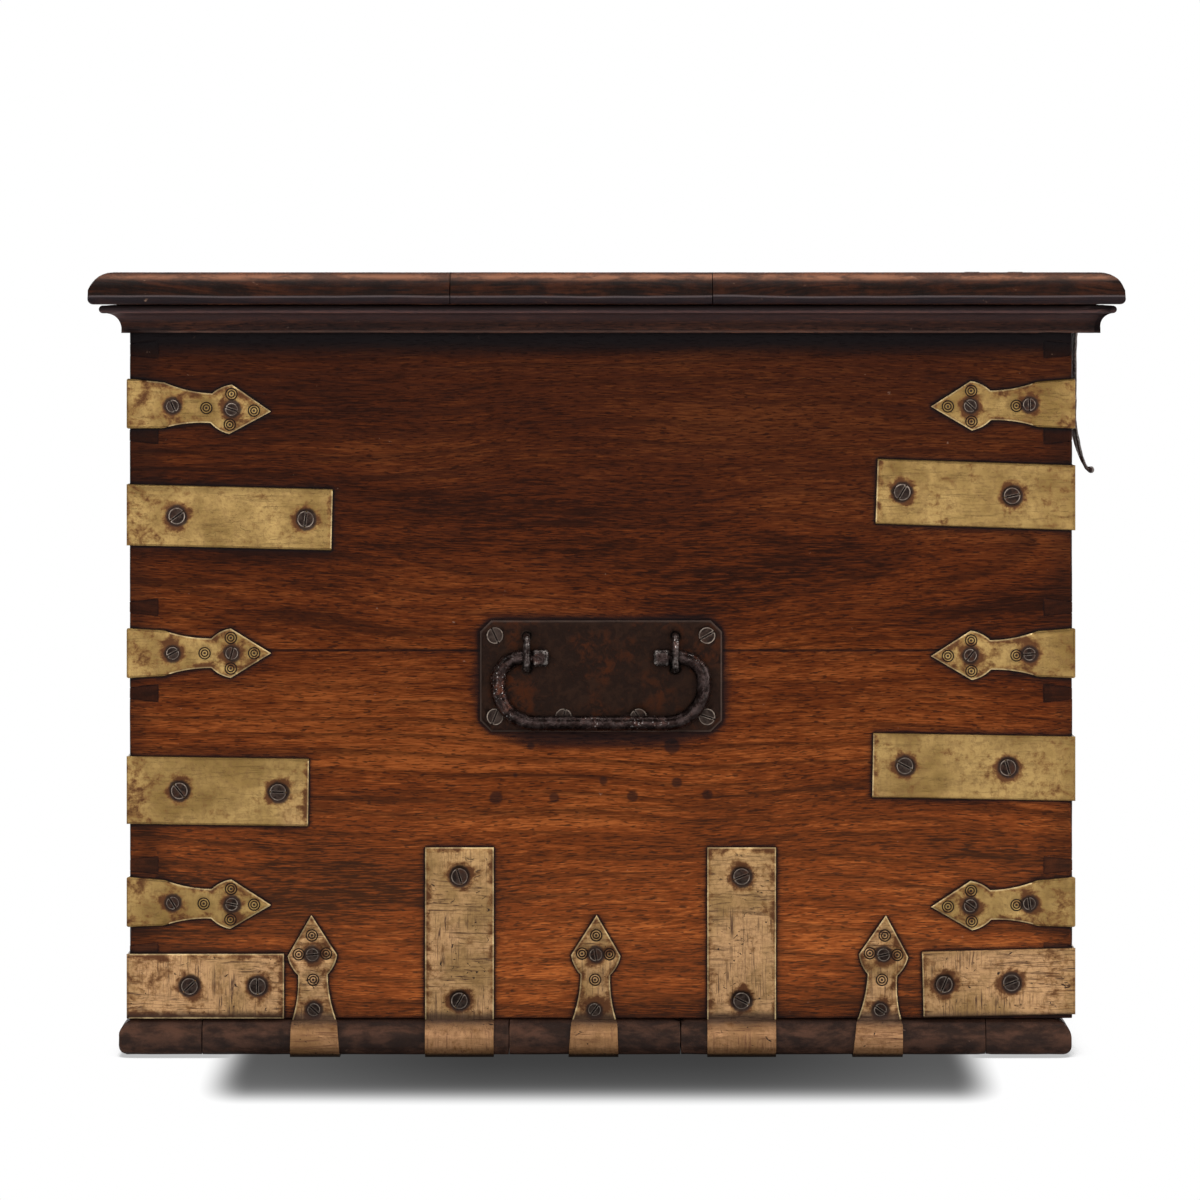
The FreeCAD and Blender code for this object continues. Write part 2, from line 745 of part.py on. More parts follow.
hinge_recesses = []
hinge_pockets = []
for name, hand in (("left", -1), ("right", 1)):
    place_x = hand * carcase_length * hinge_place_share
    lid_leaf = hinge_lid_leaf(place_x, 0)
    body_leaf = hinge_body_leaf(place_x)
    hinge_recesses.append(hinge_lid_leaf(place_x, screw_clearance))
    hinge_pockets.append(hinge_pocket(place_x))
    for share in hinge_body_screw_shares:
        add_screw("back_screws", FreeCAD.Vector(place_x, half_depth + hinge_thickness,
                                                cornice_z - hinge_body_length * share), BACK)
    for share in hinge_lid_screw_shares:
        add_screw("lid_screws", FreeCAD.Vector(place_x, half_depth - hinge_lid_length * share, lid_z), -UP)
    add_node(name + "_hinge_body_leaf", [drilled(body_leaf, "back_screws")])
    add_node(name + "_hinge_lid_leaf", [drilled(lid_leaf, "lid_screws")])
    pin_middle = FreeCAD.Vector(place_x, half_depth + hinge_pivot_reach, hinge_pivot_z)
    add_node(name + "_hinge_pin", [headed_pin(pin_middle, ALONG, hinge_width + 2 * hinge_gap)])


# Hasp

lid_front = -half_depth - lid_front_reach
hasp_pivot = FreeCAD.Vector(0, lid_front - hasp_pivot_reach, lid_z + hasp_pivot_rise)


def lid_block(shrink):
    edge = lid_edge(shrink)
    return moulded_block((edge, edge, edge), lid_end_reach, lid_front_reach, lid_back_reach)


whole_lid = lid_block(0)


def hasp_lid_strap():
    """A strap let flush into the lid, which follows its rounded edge down to two knuckles."""
    half = hasp_strap_width / 2
    window = box((-half, lid_front - overrun, lid_z + hasp_strap_thickness),
                 (half, lid_front + hasp_strap_length, lid_top + overrun))
    inlay = whole_lid.common(window).cut(lid_block(hasp_strap_thickness))
    middle = hasp_knuckle_width / 2 + hinge_gap
    bore = pin_radius + pin_running_clearance
    knuckles = []
    for start in (-half, middle):
        stop = start + half - middle
        web = box((start, hasp_pivot.y, hasp_pivot.z - hasp_web_thickness / 2),
                  (stop, lid_front + hasp_strap_thickness / 2, hasp_pivot.z + hasp_web_thickness / 2))
        barrel = Part.makeCylinder(hasp_knuckle_radius, half - middle,
                                   hasp_pivot + ALONG * start, ALONG)
        hole = Part.makeCylinder(bore, half - middle + 2 * overrun,
                                 hasp_pivot + ALONG * (start - overrun), ALONG)
        knuckles.append(web.fuse(barrel).cut(hole))
    for share in hasp_strap_screw_shares:
        add_screw("lid_screws", FreeCAD.Vector(0, lid_front + hasp_strap_length * share, lid_top), UP)
    return inlay, inlay.fuse(knuckles).removeSplitter()


def hasp_side_point(drop, out):
    return FreeCAD.Vector(0, hasp_pivot.y - out, hasp_pivot.z - drop)


def hasp_bow_points(offset):
    """The side outline of the leaf, with its face moved out by offset: (drop, out) points."""
    return ((0, offset), (hasp_bow_start, offset - hasp_bow), (hasp_bow_end, offset - hasp_bow),
            (hasp_length, offset + hasp_tip_out))


def hasp_leaf():
    half = hasp_leaf_width / 2 + overrun
    outer = hasp_bow_points(hasp_thickness / 2)
    inner = hasp_bow_points(-hasp_thickness / 2)
    sag = (outer[2][0] + outer[3][0]) / 2
    mid_out = (outer[2][1] + outer[3][1]) / 2 - hasp_thickness
    start = outer[0]
    steps = ((outer[1],), (outer[2],), ((sag, mid_out), outer[3]), (inner[3],),
             ((sag, mid_out - hasp_thickness), inner[2]), (inner[1],), (inner[0],))
    face = outline_face(start, steps, lambda drop, out: hasp_side_point(drop, out) - ALONG * half)
    band = face.extrude(ALONG * (2 * half))
    knuckle_half = hasp_knuckle_width / 2
    bar, neck, leaf = hasp_bar_width / 2, hasp_neck_width / 2, hasp_leaf_width / 2
    clear = hasp_knuckle_radius + hinge_swing_gap

    def place(across, drop):
        return FreeCAD.Vector(across, hasp_pivot.y + carcase_depth, hasp_pivot.z - drop)

    side_right = ((knuckle_half, 0), (knuckle_half, clear), (bar, clear + bar - knuckle_half),
                  (bar, slot_bottom), (neck, hasp_leaf_top), (leaf, hasp_leaf_widest),
                  (hasp_scroll_radius, hasp_length))
    side_left = [(-across, drop) for across, drop in reversed(side_right)]
    steps = [(point,) for point in list(side_right[1:]) + side_left]
    outline = outline_face(side_right[0], steps, place).extrude(BACK * (-2 * carcase_depth))
    slot = box((-slot_width / 2, hasp_pivot.y - carcase_depth, hasp_pivot.z - slot_bottom),
               (slot_width / 2, hasp_pivot.y + carcase_depth, hasp_pivot.z - slot_top))
    barrel = Part.makeCylinder(hasp_knuckle_radius, hasp_knuckle_width,
                               hasp_pivot - ALONG * knuckle_half, ALONG)
    hole = Part.makeCylinder(pin_radius + pin_running_clearance, hasp_knuckle_width + 2 * overrun,
                             hasp_pivot - ALONG * (knuckle_half + overrun), ALONG)
    scroll_middle = hasp_side_point(hasp_length, hasp_tip_out + hasp_scroll_radius)
    scroll = Part.makeCylinder(hasp_scroll_radius, hasp_scroll_radius * 2,
                               scroll_middle - ALONG * hasp_scroll_radius, ALONG)
    return band.common(outline).cut(slot).fuse([barrel, scroll]).cut(hole).removeSplitter()


lug_z = hasp_pivot.z - lug_level


def hasp_lug():
    """A flat eye for the padlock, with a tang through the board."""
    half = lug_thickness / 2
    round_radius = lug_height / 2
    nose = lug_reach - round_radius
    top, low = lug_z + round_radius, lug_z - round_radius
    inner = -board_thickness - hinge_thickness
    start = (inner, low)
    steps = (((nose, low),), turn_arc((nose, lug_z), round_radius, -90, 90), ((inner, top),))
    face = outline_face(start, steps, lambda out, up: front.at(-half, up, out))
    plate = face.extrude(ALONG * lug_thickness)
    eye = Part.makeCylinder(eye_radius, lug_thickness + 2 * overrun,
                            front.at(-half - overrun, lug_z, lug_reach - eye_setback), ALONG)
    return plate.cut(eye)


def lug_slot():
    half = lug_thickness / 2 + screw_clearance
    reach = lug_height / 2 + screw_clearance
    low = front.at(-half, lug_z - reach, -board_thickness - overrun)
    high = front.at(half, lug_z + reach, plate_thickness + overrun)
    return box((low.x, high.y, low.z), (high.x, low.y, high.z))


def lug_plate():
    start, steps = chamfered_outline(lug_plate_width, lug_plate_height, lug_z, lug_plate_chamfer)
    for hand in (-1, 1):
        for way in (-1, 1):
            add_screw("front_screws", front.at(hand * (lug_plate_width / 2 - lug_plate_screw_inset),
                                               lug_z + way * (lug_plate_height / 2 - lug_plate_screw_inset),
                                               hinge_thickness), front.out)
    return front.prism(start, steps, 0, hinge_thickness).cut(lug_slot())


hasp_inlay, hasp_strap = hasp_lid_strap()
add_node("hasp_lid_strap", [drilled(hasp_strap, "lid_screws")])
add_node("hasp_pin", [headed_pin(hasp_pivot, ALONG, hasp_strap_width + 2 * hinge_gap)])
add_node("hasp", [hasp_leaf()])
add_node("hasp_staple", [hasp_lug()])
add_node("hasp_staple_plate", [drilled(lug_plate(), "front_screws")])


# Boards of the carcase

def corner_pins(low, high, from_joint):
    """The pins of one board at all four corners, as (side, end, prism), spaced from the glued joint."""
    count = int((high - low) / pin_pitch)
    pins = []
    for number in range(count):
        step = (number + 0.5) * pin_pitch
        level = low + step if from_joint > 0 else high - step
        for y_hand in (-1, 1):
            outer, inner = y_hand * half_depth, y_hand * (half_depth - board_thickness)
            points = [(outer, level - pin_outer_width / 2), (inner, level - pin_inner_width / 2),
                      (inner, level + pin_inner_width / 2), (outer, level + pin_outer_width / 2)]
            for x_hand in (-1, 1):
                start_x = x_hand * half_length
                steps = [(point,) for point in points[1:]]
                face = outline_face(points[0], steps,
                                    lambda across, up: FreeCAD.Vector(start_x, across, up))
                pins.append((y_hand, face.extrude(ALONG * (-x_hand * board_thickness))))
    return pins


inner_length = half_length - board_thickness
handle_openings = {name: staple_holes(side) for name, side in ends.items()}
for level_name, low, high, from_joint in (("lower", carcase_z, joint_z, -1), ("upper", joint_z, rim_z, 1)):
    pins = corner_pins(low, high, from_joint)
    pin_solids = [solid for y_hand, solid in pins]
    for name, hand in (("left", -1), ("right", 1)):
        first, last = sorted((hand * half_length, hand * inner_length))
        board = box((first, -half_depth, low), (last, half_depth, high))
        board = drilled(board.cut(pin_solids + handle_openings[name]),
                        name + "_screws", "front_screws", "back_screws")
        add_node("{}_end_{}_board".format(name, level_name), [board])
    for name, hand in (("front", -1), ("back", 1)):
        first, last = sorted((hand * half_depth, hand * (half_depth - board_thickness)))
        board = box((-inner_length, first, low), (inner_length, last, high))
        board = board.fuse([solid for y_hand, solid in pins if y_hand == hand]).removeSplitter()
        if name == "front":
            board = board.cut(lug_slot())
        add_node("{}_{}_board".format(name, level_name),
                 [drilled(board, name + "_screws", "left_screws", "right_screws")])


# Bottom planks

planks = cut_in_planks(bottom_block, -half_depth - bottom_front_reach, half_depth + bottom_back_reach,
                       bottom_joint_shares)
for number, plank in enumerate(planks):
    add_node("bottom_plank_{}".format(number + 1),
             [drilled(plank, "front_screws", "back_screws", "left_screws", "right_screws")])


# Cove moulding, in four mitred lengths

def cornice_corner(x_name, y_name):
    """The points of a mitre: the carcase's corner, the inner end of the mitre line, a far point on it."""
    x_hand = -1 if x_name == "left" else 1
    y_hand = -1 if y_name == "front" else 1
    y_reach = cornice_front_reach if y_name == "front" else cornice_back_reach
    shared = min(cornice_end_reach, y_reach)
    offsets = ((0, 0), (cornice_end_reach - shared, y_reach - shared),
               (cornice_end_reach + shared, y_reach + shared))
    return [(x_hand * (half_length + x_out), y_hand * (half_depth + y_out)) for x_out, y_out in offsets]


def cornice_length(name, edge, reach, side):
    """A bar with the moulding, mitred at 45 degrees to the lengths beside it."""
    bar = half_bar(edge, reach, side.out, side.across, carcase_length)
    if name in ends:
        corners = cornice_corner(name, "front") + list(reversed(cornice_corner(name, "back")))
    else:
        corners = cornice_corner("left", name) + list(reversed(cornice_corner("right", name)))
    distinct = [corner for corner, before in zip(corners, corners[-1:] + corners) if corner != before]
    face = outline_face(distinct[0], [(corner,) for corner in distinct[1:]],
                        lambda x, y: FreeCAD.Vector(x, y, cornice_z - overrun))
    return bar.common(face.extrude(UP * (cornice_height + 2 * overrun))).cut(carcase_block)


end_cove = cornice_edge(cornice_end_foot, cornice_end_reach)
front_cove = cornice_edge(cornice_front_foot, cornice_front_reach)
back_cove = cornice_edge(cornice_back_foot, cornice_back_reach)
for name, side in ends.items():
    add_node("cornice_" + name, [cornice_length(name, end_cove, half_length + cornice_end_reach, side)])
add_node("cornice_front", [cornice_length("front", front_cove, half_depth + cornice_front_reach, front)])
back_moulding = cornice_length("back", back_cove, half_depth + cornice_back_reach, back)
add_node("cornice_back", [back_moulding.cut(hinge_pockets)])


# Lid

lid_planks = cut_in_planks(whole_lid, lid_front, half_depth + lid_back_reach, lid_joint_shares)
for name, plank in zip(("front", "middle", "back"), lid_planks):
    add_node("lid_plank_" + name, [drilled(plank.cut(hinge_recesses + [hasp_inlay]), "lid_screws")])

batten_half = half_depth - board_thickness - batten_clearance
battens = []
for hand in (-1, 1):
    middle = hand * carcase_length * batten_place_share
    battens.append(box((middle - batten_width / 2, -batten_half, lid_z - batten_thickness),
                       (middle + batten_width / 2, batten_half, lid_z)))
add_node("lid_battens", battens)


# Screws come last: their holes are made, and the straps get theirs here

for name, solids in nodes.items():
    if name.endswith("_straps"):
        nodes[name] = [drilled(solid, "left_screws", "right_screws", "front_screws", "back_screws")
                       for solid in solids]
for name, solids in screws.items():
    add_node(name, solids)

# The origin is the middle of the underside of everything
whole = Part.makeCompound([solid for solids in nodes.values() for solid in solids])
extent = whole.optimalBoundingBox(False)
shift = FreeCAD.Vector(-(extent.XMin + extent.XMax) / 2, -(extent.YMin + extent.YMax) / 2, -extent.ZMin)
for name, solids in nodes.items():
    group = Part.makeCompound(solids) if len(solids) > 1 else solids[0]
    group = group.copy()
    group.translate(shift)
    group.exportStep("parts/{}.step".format(name))
    nodes[name] = group
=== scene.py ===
import json
import math
from collections import namedtuple
from types import SimpleNamespace

import bmesh
import bpy
import numpy as np
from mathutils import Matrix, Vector, geometry, noise


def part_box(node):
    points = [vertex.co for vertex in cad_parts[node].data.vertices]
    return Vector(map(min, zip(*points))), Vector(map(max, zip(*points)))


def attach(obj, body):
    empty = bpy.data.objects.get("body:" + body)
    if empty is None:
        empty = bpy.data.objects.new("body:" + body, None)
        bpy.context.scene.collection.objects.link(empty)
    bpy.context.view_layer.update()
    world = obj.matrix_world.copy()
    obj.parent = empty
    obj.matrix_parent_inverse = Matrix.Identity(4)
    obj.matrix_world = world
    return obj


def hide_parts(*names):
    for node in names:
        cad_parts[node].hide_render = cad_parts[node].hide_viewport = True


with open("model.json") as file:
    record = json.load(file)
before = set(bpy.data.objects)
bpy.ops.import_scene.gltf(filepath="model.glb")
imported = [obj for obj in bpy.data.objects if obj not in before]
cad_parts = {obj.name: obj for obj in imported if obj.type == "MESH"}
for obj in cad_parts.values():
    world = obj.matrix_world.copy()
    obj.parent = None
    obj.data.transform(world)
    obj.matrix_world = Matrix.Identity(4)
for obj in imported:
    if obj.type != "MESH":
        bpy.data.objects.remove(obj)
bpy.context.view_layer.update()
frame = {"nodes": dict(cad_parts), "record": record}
nodes = frame["nodes"]
bodies = frame["record"]["behaviour"]["bodies"]

# Metres, in the frame of the chest: X is the length, the front faces -Y, Z is up.
MM = 0.001

# Sizes read from the frame
end_low, end_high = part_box("left_end_upper_board")
foot_low, foot_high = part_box("left_end_lower_board")
carcase_x = -end_low.x
front_y, back_y = end_low.y, end_high.y
middle_y = (front_y + back_y) / 2
half_depth = (back_y - front_y) / 2
rim_z, carcase_z, joint_z = end_high.z, foot_low.z, foot_high.z
cornice_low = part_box("cornice_left")[0].z
fillet_low = cornice_low + 17 * MM
lid_low, lid_high = (corner.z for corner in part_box("lid_plank_front"))
plate_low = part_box("left_handle_plate")[0].z

# Camera: the photograph is 1200 pixels wide, and a pixel at the near end is 0.62 mm
photo_size = 1200
pixel = 0.62 * MM
middle_px, floor_py, eye_py = 601, 1057, 273
camera_distance = 4.5
sensor_width = 36.0

FLOOR_REACH = 30.0

UP = Vector((0, 0, 1))
LEFTWARD, RIGHTWARD = Vector((-1, 0, 0)), Vector((1, 0, 0))
FORWARD, BACKWARD = Vector((0, -1, 0)), Vector((0, 1, 0))
LEVEL_WAYS = (LEFTWARD, RIGHTWARD, FORWARD, BACKWARD)


def body_of(node):
    return next(body for body, members in bodies.items() if node in members)


def pull(place, size, seed):
    """Smooth noise about zero at a place, for bumps of one size."""
    return noise.noise(Vector(place) / size + Vector((seed * 7.3, seed * 3.1, -seed * 5.7)))


# Fine meshes made from the flat faces of the solids

# Faces: how well a flat one agrees with its way, how far a wall may lean, and what counts as one level
FLAT = 0.999
WALL_LEAN = 0.35
SAME_LEVEL = 0.05 * MM
WELD = 0.002 * MM
CUT_SNAP = 0.01 * MM
FAR_MM = 50.0

# New points: shares of the grid, rows beside an edge as shares of its rounding, and clear space round marks
GRID_SHIFT_SHARE, GRID_CLEAR_SHARE = 0.35, 0.45
GRID_SEEDS = (1, 2)
ROW_DEPTH_SHARES = (1.0, 1.7, 3.0)
ROW_CLEAR_SHARE = 0.85
MARK_CLEAR, RING_CLEAR = 1.2 * MM, 0.3 * MM
POINTS_AT_ONCE = 1000
LEAST_SQUARE, LEAST_LENGTH = 1e-16, 1e-12
SAME_POINT = 1e-8

# Wear: (share, size, seed) of its two waves, its reach as a multiple of the rounding, how fast it fades at a
# wall and at a corner of two flat faces, and the small waves beside the large ones
WEAR_WAVES = ((0.7, 17 * MM, 3), (0.4, 4 * MM, 4))
WEAR_REACH = 3.0
WALL_FADE, CORNER_FADE = 2.5, 2
CORNER_SHARE = 0.5
SMALL_WAVE_SHARE, SMALL_WAVE_TIMES = 0.35, 4

# Stamped marks
RING_SIDES = 22
GROOVE_HALF = 0.5 * MM
GROOVE_DEPTH = 0.3 * MM
RING_RADII = (3.5 * MM, 2.0 * MM)
DOT_RADIUS = 1.1 * MM
HOLE_SIZE = 14 * MM


def face_finish(wear, least_area, **sizes):
    """How a flat face is made fine: its wear, least area, grid, worn edges and waviness, in millimetres."""
    in_metres = {name: size * MM for name, size in sizes.items()}
    return SimpleNamespace(wear=wear, least_area=least_area * MM * MM, **in_metres)


BRASS = face_finish(grid=3.6, edge_step=2.4, edge_round=0.5, corner_round=0.5, wear=0.9,
                    wave=0.3, wave_size=26, least_area=700, outer_band=FAR_MM)
IRON = face_finish(grid=4.5, edge_step=3.0, edge_round=0.7, corner_round=0.7, wear=0.8,
                   wave=0.4, wave_size=20, least_area=300, outer_band=FAR_MM)
BOARD = face_finish(grid=12, edge_step=6.0, edge_round=0.35, corner_round=1.3, wear=0.8,
                    wave=0.35, wave_size=80, least_area=120, outer_band=0.1)


def flood(start, seen, beside):
    """All that can be reached from a start by steps to what lies beside."""
    found, waiting = [], [start]
    seen.add(start)
    while waiting:
        here = waiting.pop()
        found.append(here)
        for other in beside(here):
            if other not in seen:
                seen.add(other)
                waiting.append(other)
    return found


def flat_regions(mesh, ways, flag, least_area, outer_band):
    """Connected sets of outermost faces that lie in one plane and face one of the level ways."""
    regions, seen = [], set()
    outermost = {tuple(axis): max(vert.co.dot(axis) for vert in mesh.verts) for axis in ways}
    for face in list(mesh.faces):
        way = next((axis for axis in ways if face.normal.dot(axis) > FLAT), None)
        if face in seen or way is None:
            continue
        level = face.calc_center_median().dot(way)
        if level < outermost[tuple(way)] - outer_band:
            continue

        def in_plane(here):
            beside = [other for edge in here.edges for other in edge.link_faces]
            return [other for other in beside if other.normal.dot(way) > FLAT
                    and abs(other.calc_center_median().dot(way) - level) < SAME_LEVEL]

        region = flood(face, seen, in_plane)
        if sum(f.calc_area() for f in region) > least_area:
            regions.append((region, way))
            for here in region:
                here[flag] = 1
    return regions


def border_of(region):
    """The edges between a region's faces and the rest of the mesh."""
    inside = set(region)
    return list({e for f in region for e in f.edges if sum(g in inside for g in e.link_faces) == 1})


def in_order(edges):
    """Edges sorted by their middles, so that each run takes them alike."""
    return sorted(edges, key=lambda edge: tuple(sum((v.co for v in edge.verts), Vector())))


def split_border(region, step):
    """Splits the long border edges into pieces of about one step."""
    for edge in in_order(border_of(region)):
        start, end = edge.verts
        for left_over in range(int(edge.calc_length() / step), 0, -1):
            start = bmesh.utils.edge_split(edge, start, 1 / (left_over + 1))[1]
            edge = next(e for e in start.link_edges if e.other_vert(start) == end)


def loops_of(edges):
    """Border edges sorted into loops of vertices."""
    links = {}
    for edge in edges:
        for vert in edge.verts:
            links.setdefault(vert, []).append(edge)
    loops, used = [], set()
    for edge in edges:
        if edge in used:
            continue
        loop, here = [edge.verts[0]], edge
        while here is not None:
            used.add(here)
            loop.append(here.other_vert(loop[-1]))
            here = next((e for e in links[loop[-1]] if e not in used), None)
        loops.append(loop)
    return loops


def inside_shape(points, starts, ends):
    """Which points lie inside the border, by counting the segments that a line to the right crosses."""
    x, y = points[:, 0][:, None], points[:, 1][:, None]
    x1, y1, x2, y2 = starts[:, 0], starts[:, 1], ends[:, 0], ends[:, 1]
    spans = (y1 > y) != (y2 > y)
    rise = np.where(y2 == y1, 1.0, y2 - y1)
    crossed = spans & (x < (x2 - x1) * (y - y1) / rise + x1)
    return (np.sum(crossed, axis=1) % 2) == 1


def border_distance(points, starts, ends):
    """How far each point lies from the nearest of the segments."""
    if not len(starts):
        return np.full(len(points), FAR_MM * MM)
    along = ends - starts
    square = np.maximum(np.sum(along ** 2, axis=1), LEAST_SQUARE)
    parts = []
    for chunk in np.array_split(points, max(1, len(points) // POINTS_AT_ONCE)):
        away = chunk[:, None, :] - starts
        share = np.clip(np.sum(away * along, axis=2) / square, 0, 1)
        parts.append(np.min(np.linalg.norm(away - share[:, :, None] * along, axis=2), axis=1))
    return np.concatenate(parts)


def circle(centre, radius, sides):
    turns = np.arange(sides) * 2 * math.pi / sides
    return centre + radius * np.stack([np.cos(turns), np.sin(turns)], axis=1)


def ring_points(centre):
    """Points that carry the stamped rings and dot of one mark."""
    rows = [circle(centre, radius + side * GROOVE_HALF, RING_SIDES)
            for radius in RING_RADII for side in (-1, 0, 1)]
    rows.append(circle(centre, DOT_RADIUS, RING_SIDES // 3))
    rows.append(centre[None, :])
    return np.concatenate(rows)


def groove_at(points, marks):
    """1 in the bottom of a stamped ring or dot, 0 outside it."""
    value = np.zeros(len(points))
    for mark in marks:
        away = np.linalg.norm(points - mark, axis=1)
        for radius in RING_RADII:
            value = np.maximum(value, 1 - np.abs(away - radius) / GROOVE_HALF)
        value = np.maximum(value, 1 - away / DOT_RADIUS)
    return value


def rows_beside(starts, ends, depths, every_start, every_end):
    """Points that run along both sides of the segments, at some depths."""
    if not len(starts):
        return []
    middles = (starts + ends) / 2
    along = ends - starts
    square = np.stack([-along[:, 1], along[:, 0]], axis=1)
    square /= np.maximum(np.linalg.norm(square, axis=1), LEAST_LENGTH)[:, None]
    rows = []
    for depth in depths:
        for hand in (-1, 1):
            row = middles + hand * depth * square
            rows.append(row[border_distance(row, every_start, every_end) > depth * ROW_CLEAR_SHARE])
    return rows


class Region:
    """A flat upright region's border, seen square on: its points are (sideways, upward)."""

    def __init__(self, faces, way, flag):
        self.way = way
        self.sideways = UP.cross(way)
        self.level = faces[0].calc_center_median().dot(way)
        border = in_order(border_of(faces))
        inside = set(faces)
        index = {}
        for edge in border:
            for vert in edge.verts:
                index.setdefault(vert, len(index))
        self.verts = list(index)
        self.rim = np.array([self.flat(v.co) for v in self.verts])
        self.pairs = [(index[e.verts[0]], index[e.verts[1]]) for e in border]
        self.starts = self.rim[[a for a, b in self.pairs]]
        self.ends = self.rim[[b for a, b in self.pairs]]
        self.walls, self.corners = [], []
        for number, edge in enumerate(border):
            others = [f for f in edge.link_faces if f not in inside]
            if any(f[flag] for f in others):
                self.corners.append(number)
            elif any(abs(f.normal.dot(way)) < WALL_LEAN for f in others):
                self.walls.append(number)
        shapes = [np.array([self.flat(v.co) for v in loop]) for loop in loops_of(border)]
        sizes = [np.ptp(shape, axis=0).max() for shape in shapes]
        self.outline = shapes[int(np.argmax(sizes))]
        self.holes = [(shape.mean(axis=0), size / 2)
                      for shape, size in zip(shapes, sizes) if size < HOLE_SIZE]

    def flat(self, place):
        """Where a place in the room lies on the region."""
        return place.dot(self.sideways), place.dot(UP)

    def solid(self, point):
        """Where a point of the region lies in the room."""
        return self.sideways * point[0] + UP * point[1] + self.way * self.level


def inner_points(region, finish, marks):
    """The new points of a region: a loose grid, rows beside its edges and the marks' rings."""
    low, high = region.outline.min(axis=0), region.outline.max(axis=0)
    shift = finish.grid * GRID_SHIFT_SHARE
    grid = []
    for column in np.arange(low[0] + shift, high[0], finish.grid):
        for row in np.arange(low[1] + shift, high[1], finish.grid):
            place = (column, row, region.level)
            sideways, upward = (shift * pull(place, finish.grid, seed) for seed in GRID_SEEDS)
            grid.append((column + sideways, row + upward))
    grid = np.array(grid).reshape(-1, 2)
    keep = border_distance(grid, region.starts, region.ends) > finish.grid * GRID_CLEAR_SHARE
    for mark in marks:
        keep &= np.linalg.norm(grid - mark, axis=1) > RING_RADII[0] + MARK_CLEAR
    groups = [grid[keep]]
    for edges, depth in ((region.walls, finish.edge_round), (region.corners, finish.corner_round)):
        rows = [share * depth for share in ROW_DEPTH_SHARES]
        groups += rows_beside(region.starts[edges], region.ends[edges], rows, region.starts, region.ends)
    for mark in marks:
        ring = ring_points(mark)
        groups.append(ring[border_distance(ring, region.starts, region.ends) > RING_CLEAR])
    points = np.concatenate(groups)
    return points[inside_shape(points, region.starts, region.ends)]


def worn_back(spot, to_wall, to_corner, finish, seed):
    """How far a point is worn back: most along the edges, and a little everywhere."""
    wear = 1 + finish.wear * sum(share * pull(spot, size, number) for share, size, number in WEAR_WAVES)
    at_wall = max(0.0, 1 - to_wall / (WEAR_REACH * finish.edge_round)) ** WALL_FADE * finish.edge_round
    at_corner = max(0.0, 1 - to_corner / (WEAR_REACH * finish.corner_round)) ** CORNER_FADE
    at_corner *= CORNER_SHARE * finish.corner_round
    small = abs(pull(spot, finish.wave_size / SMALL_WAVE_TIMES, seed + 1))
    wave = abs(pull(spot, finish.wave_size, seed)) + SMALL_WAVE_SHARE * small
    return wear * max(at_wall, at_corner) + finish.wave * wave


def make_fine(mesh, layers, flag, faces, way, finish, seed, find_marks):
    """Replaces a flat region by a fine mesh with a worn edge, waviness and stamped marks."""
    region = Region(faces, way, flag)
    marks = find_marks(region) if find_marks else []
    inner = inner_points(region, finish, marks)
    points = [Vector(point) for point in np.concatenate([region.rim, inner])]
    found = geometry.delaunay_2d_cdt(points, region.pairs, [], 0, SAME_POINT)
    places, triangles, sources = np.array(found[0]), found[2], found[3]
    centres = np.array([(places[a] + places[b] + places[c]) / 3 for a, b, c in triangles])
    wanted = inside_shape(centres, region.starts, region.ends)
    wall = border_distance(places, region.starts[region.walls], region.ends[region.walls])
    corner = border_distance(places, region.starts[region.corners], region.ends[region.corners])
    screw = np.full(len(places), FAR_MM * MM)
    for hole, radius in region.holes:
        screw = np.minimum(screw, np.linalg.norm(places - hole, axis=1) - radius)
    groove = groove_at(places, marks)

    drop = groove * GROOVE_DEPTH
    for number, place in enumerate(places):
        drop[number] += worn_back(region.solid(place), wall[number], corner[number], finish, seed)

    bmesh.ops.delete(mesh, geom=faces, context="FACES_KEEP_BOUNDARY")
    made = {}

    def vert_of(number):
        if number not in made:
            on_rim = [source for source in sources[number] if source < len(region.verts)]
            vert = region.verts[on_rim[0]] if on_rim else mesh.verts.new(region.solid(places[number]))
            vert.co -= way * drop[number]
            values = (wall[number] / MM, screw[number] / MM, groove[number])
            for name, value in zip(("edge_mm", "screw_mm", "groove"), values):
                vert[layers[name]] = value
            made[number] = vert
        return made[number]

    for number, triangle in enumerate(triangles):
        if wanted[number]:
            face = mesh.faces.new([vert_of(corner_number) for corner_number in triangle])
            face[flag] = 1


def islands(mesh):
    """The separate shells of a mesh, as lists of vertices."""
    seen = set()
    return [flood(vert, seen, lambda here: [edge.other_vert(here) for edge in here.link_edges])
            for vert in mesh.verts if vert not in seen]


def smooth_with_edges(mesh, angle):
    """Shades a mesh smooth, but for the edges that turn by more than an angle in degrees."""
    for face in mesh.faces:
        face.smooth = True
    for edge in mesh.edges:
        if len(edge.link_faces) == 2:
            edge.smooth = edge.calc_face_angle(0) < math.radians(angle)


def placed(name, data):
    """A new object in the scene."""
    made = bpy.data.objects.new(name, data)
    bpy.context.scene.collection.objects.link(made)
    return made


def placed_mesh(name, mesh, material):
    """A new object with its own mesh and material."""
    data = bpy.data.meshes.new(name)
    mesh.to_mesh(data)
    mesh.free()
    data.materials.append(material)
    return placed(name, data)


def piece_from(mesh, node, ending, material):
    """Makes the scene's piece from a mesh, on its node's body and in place of its solids."""
    made = placed_mesh(node + ending, mesh, material)
    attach(made, body_of(node))
    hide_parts(node)


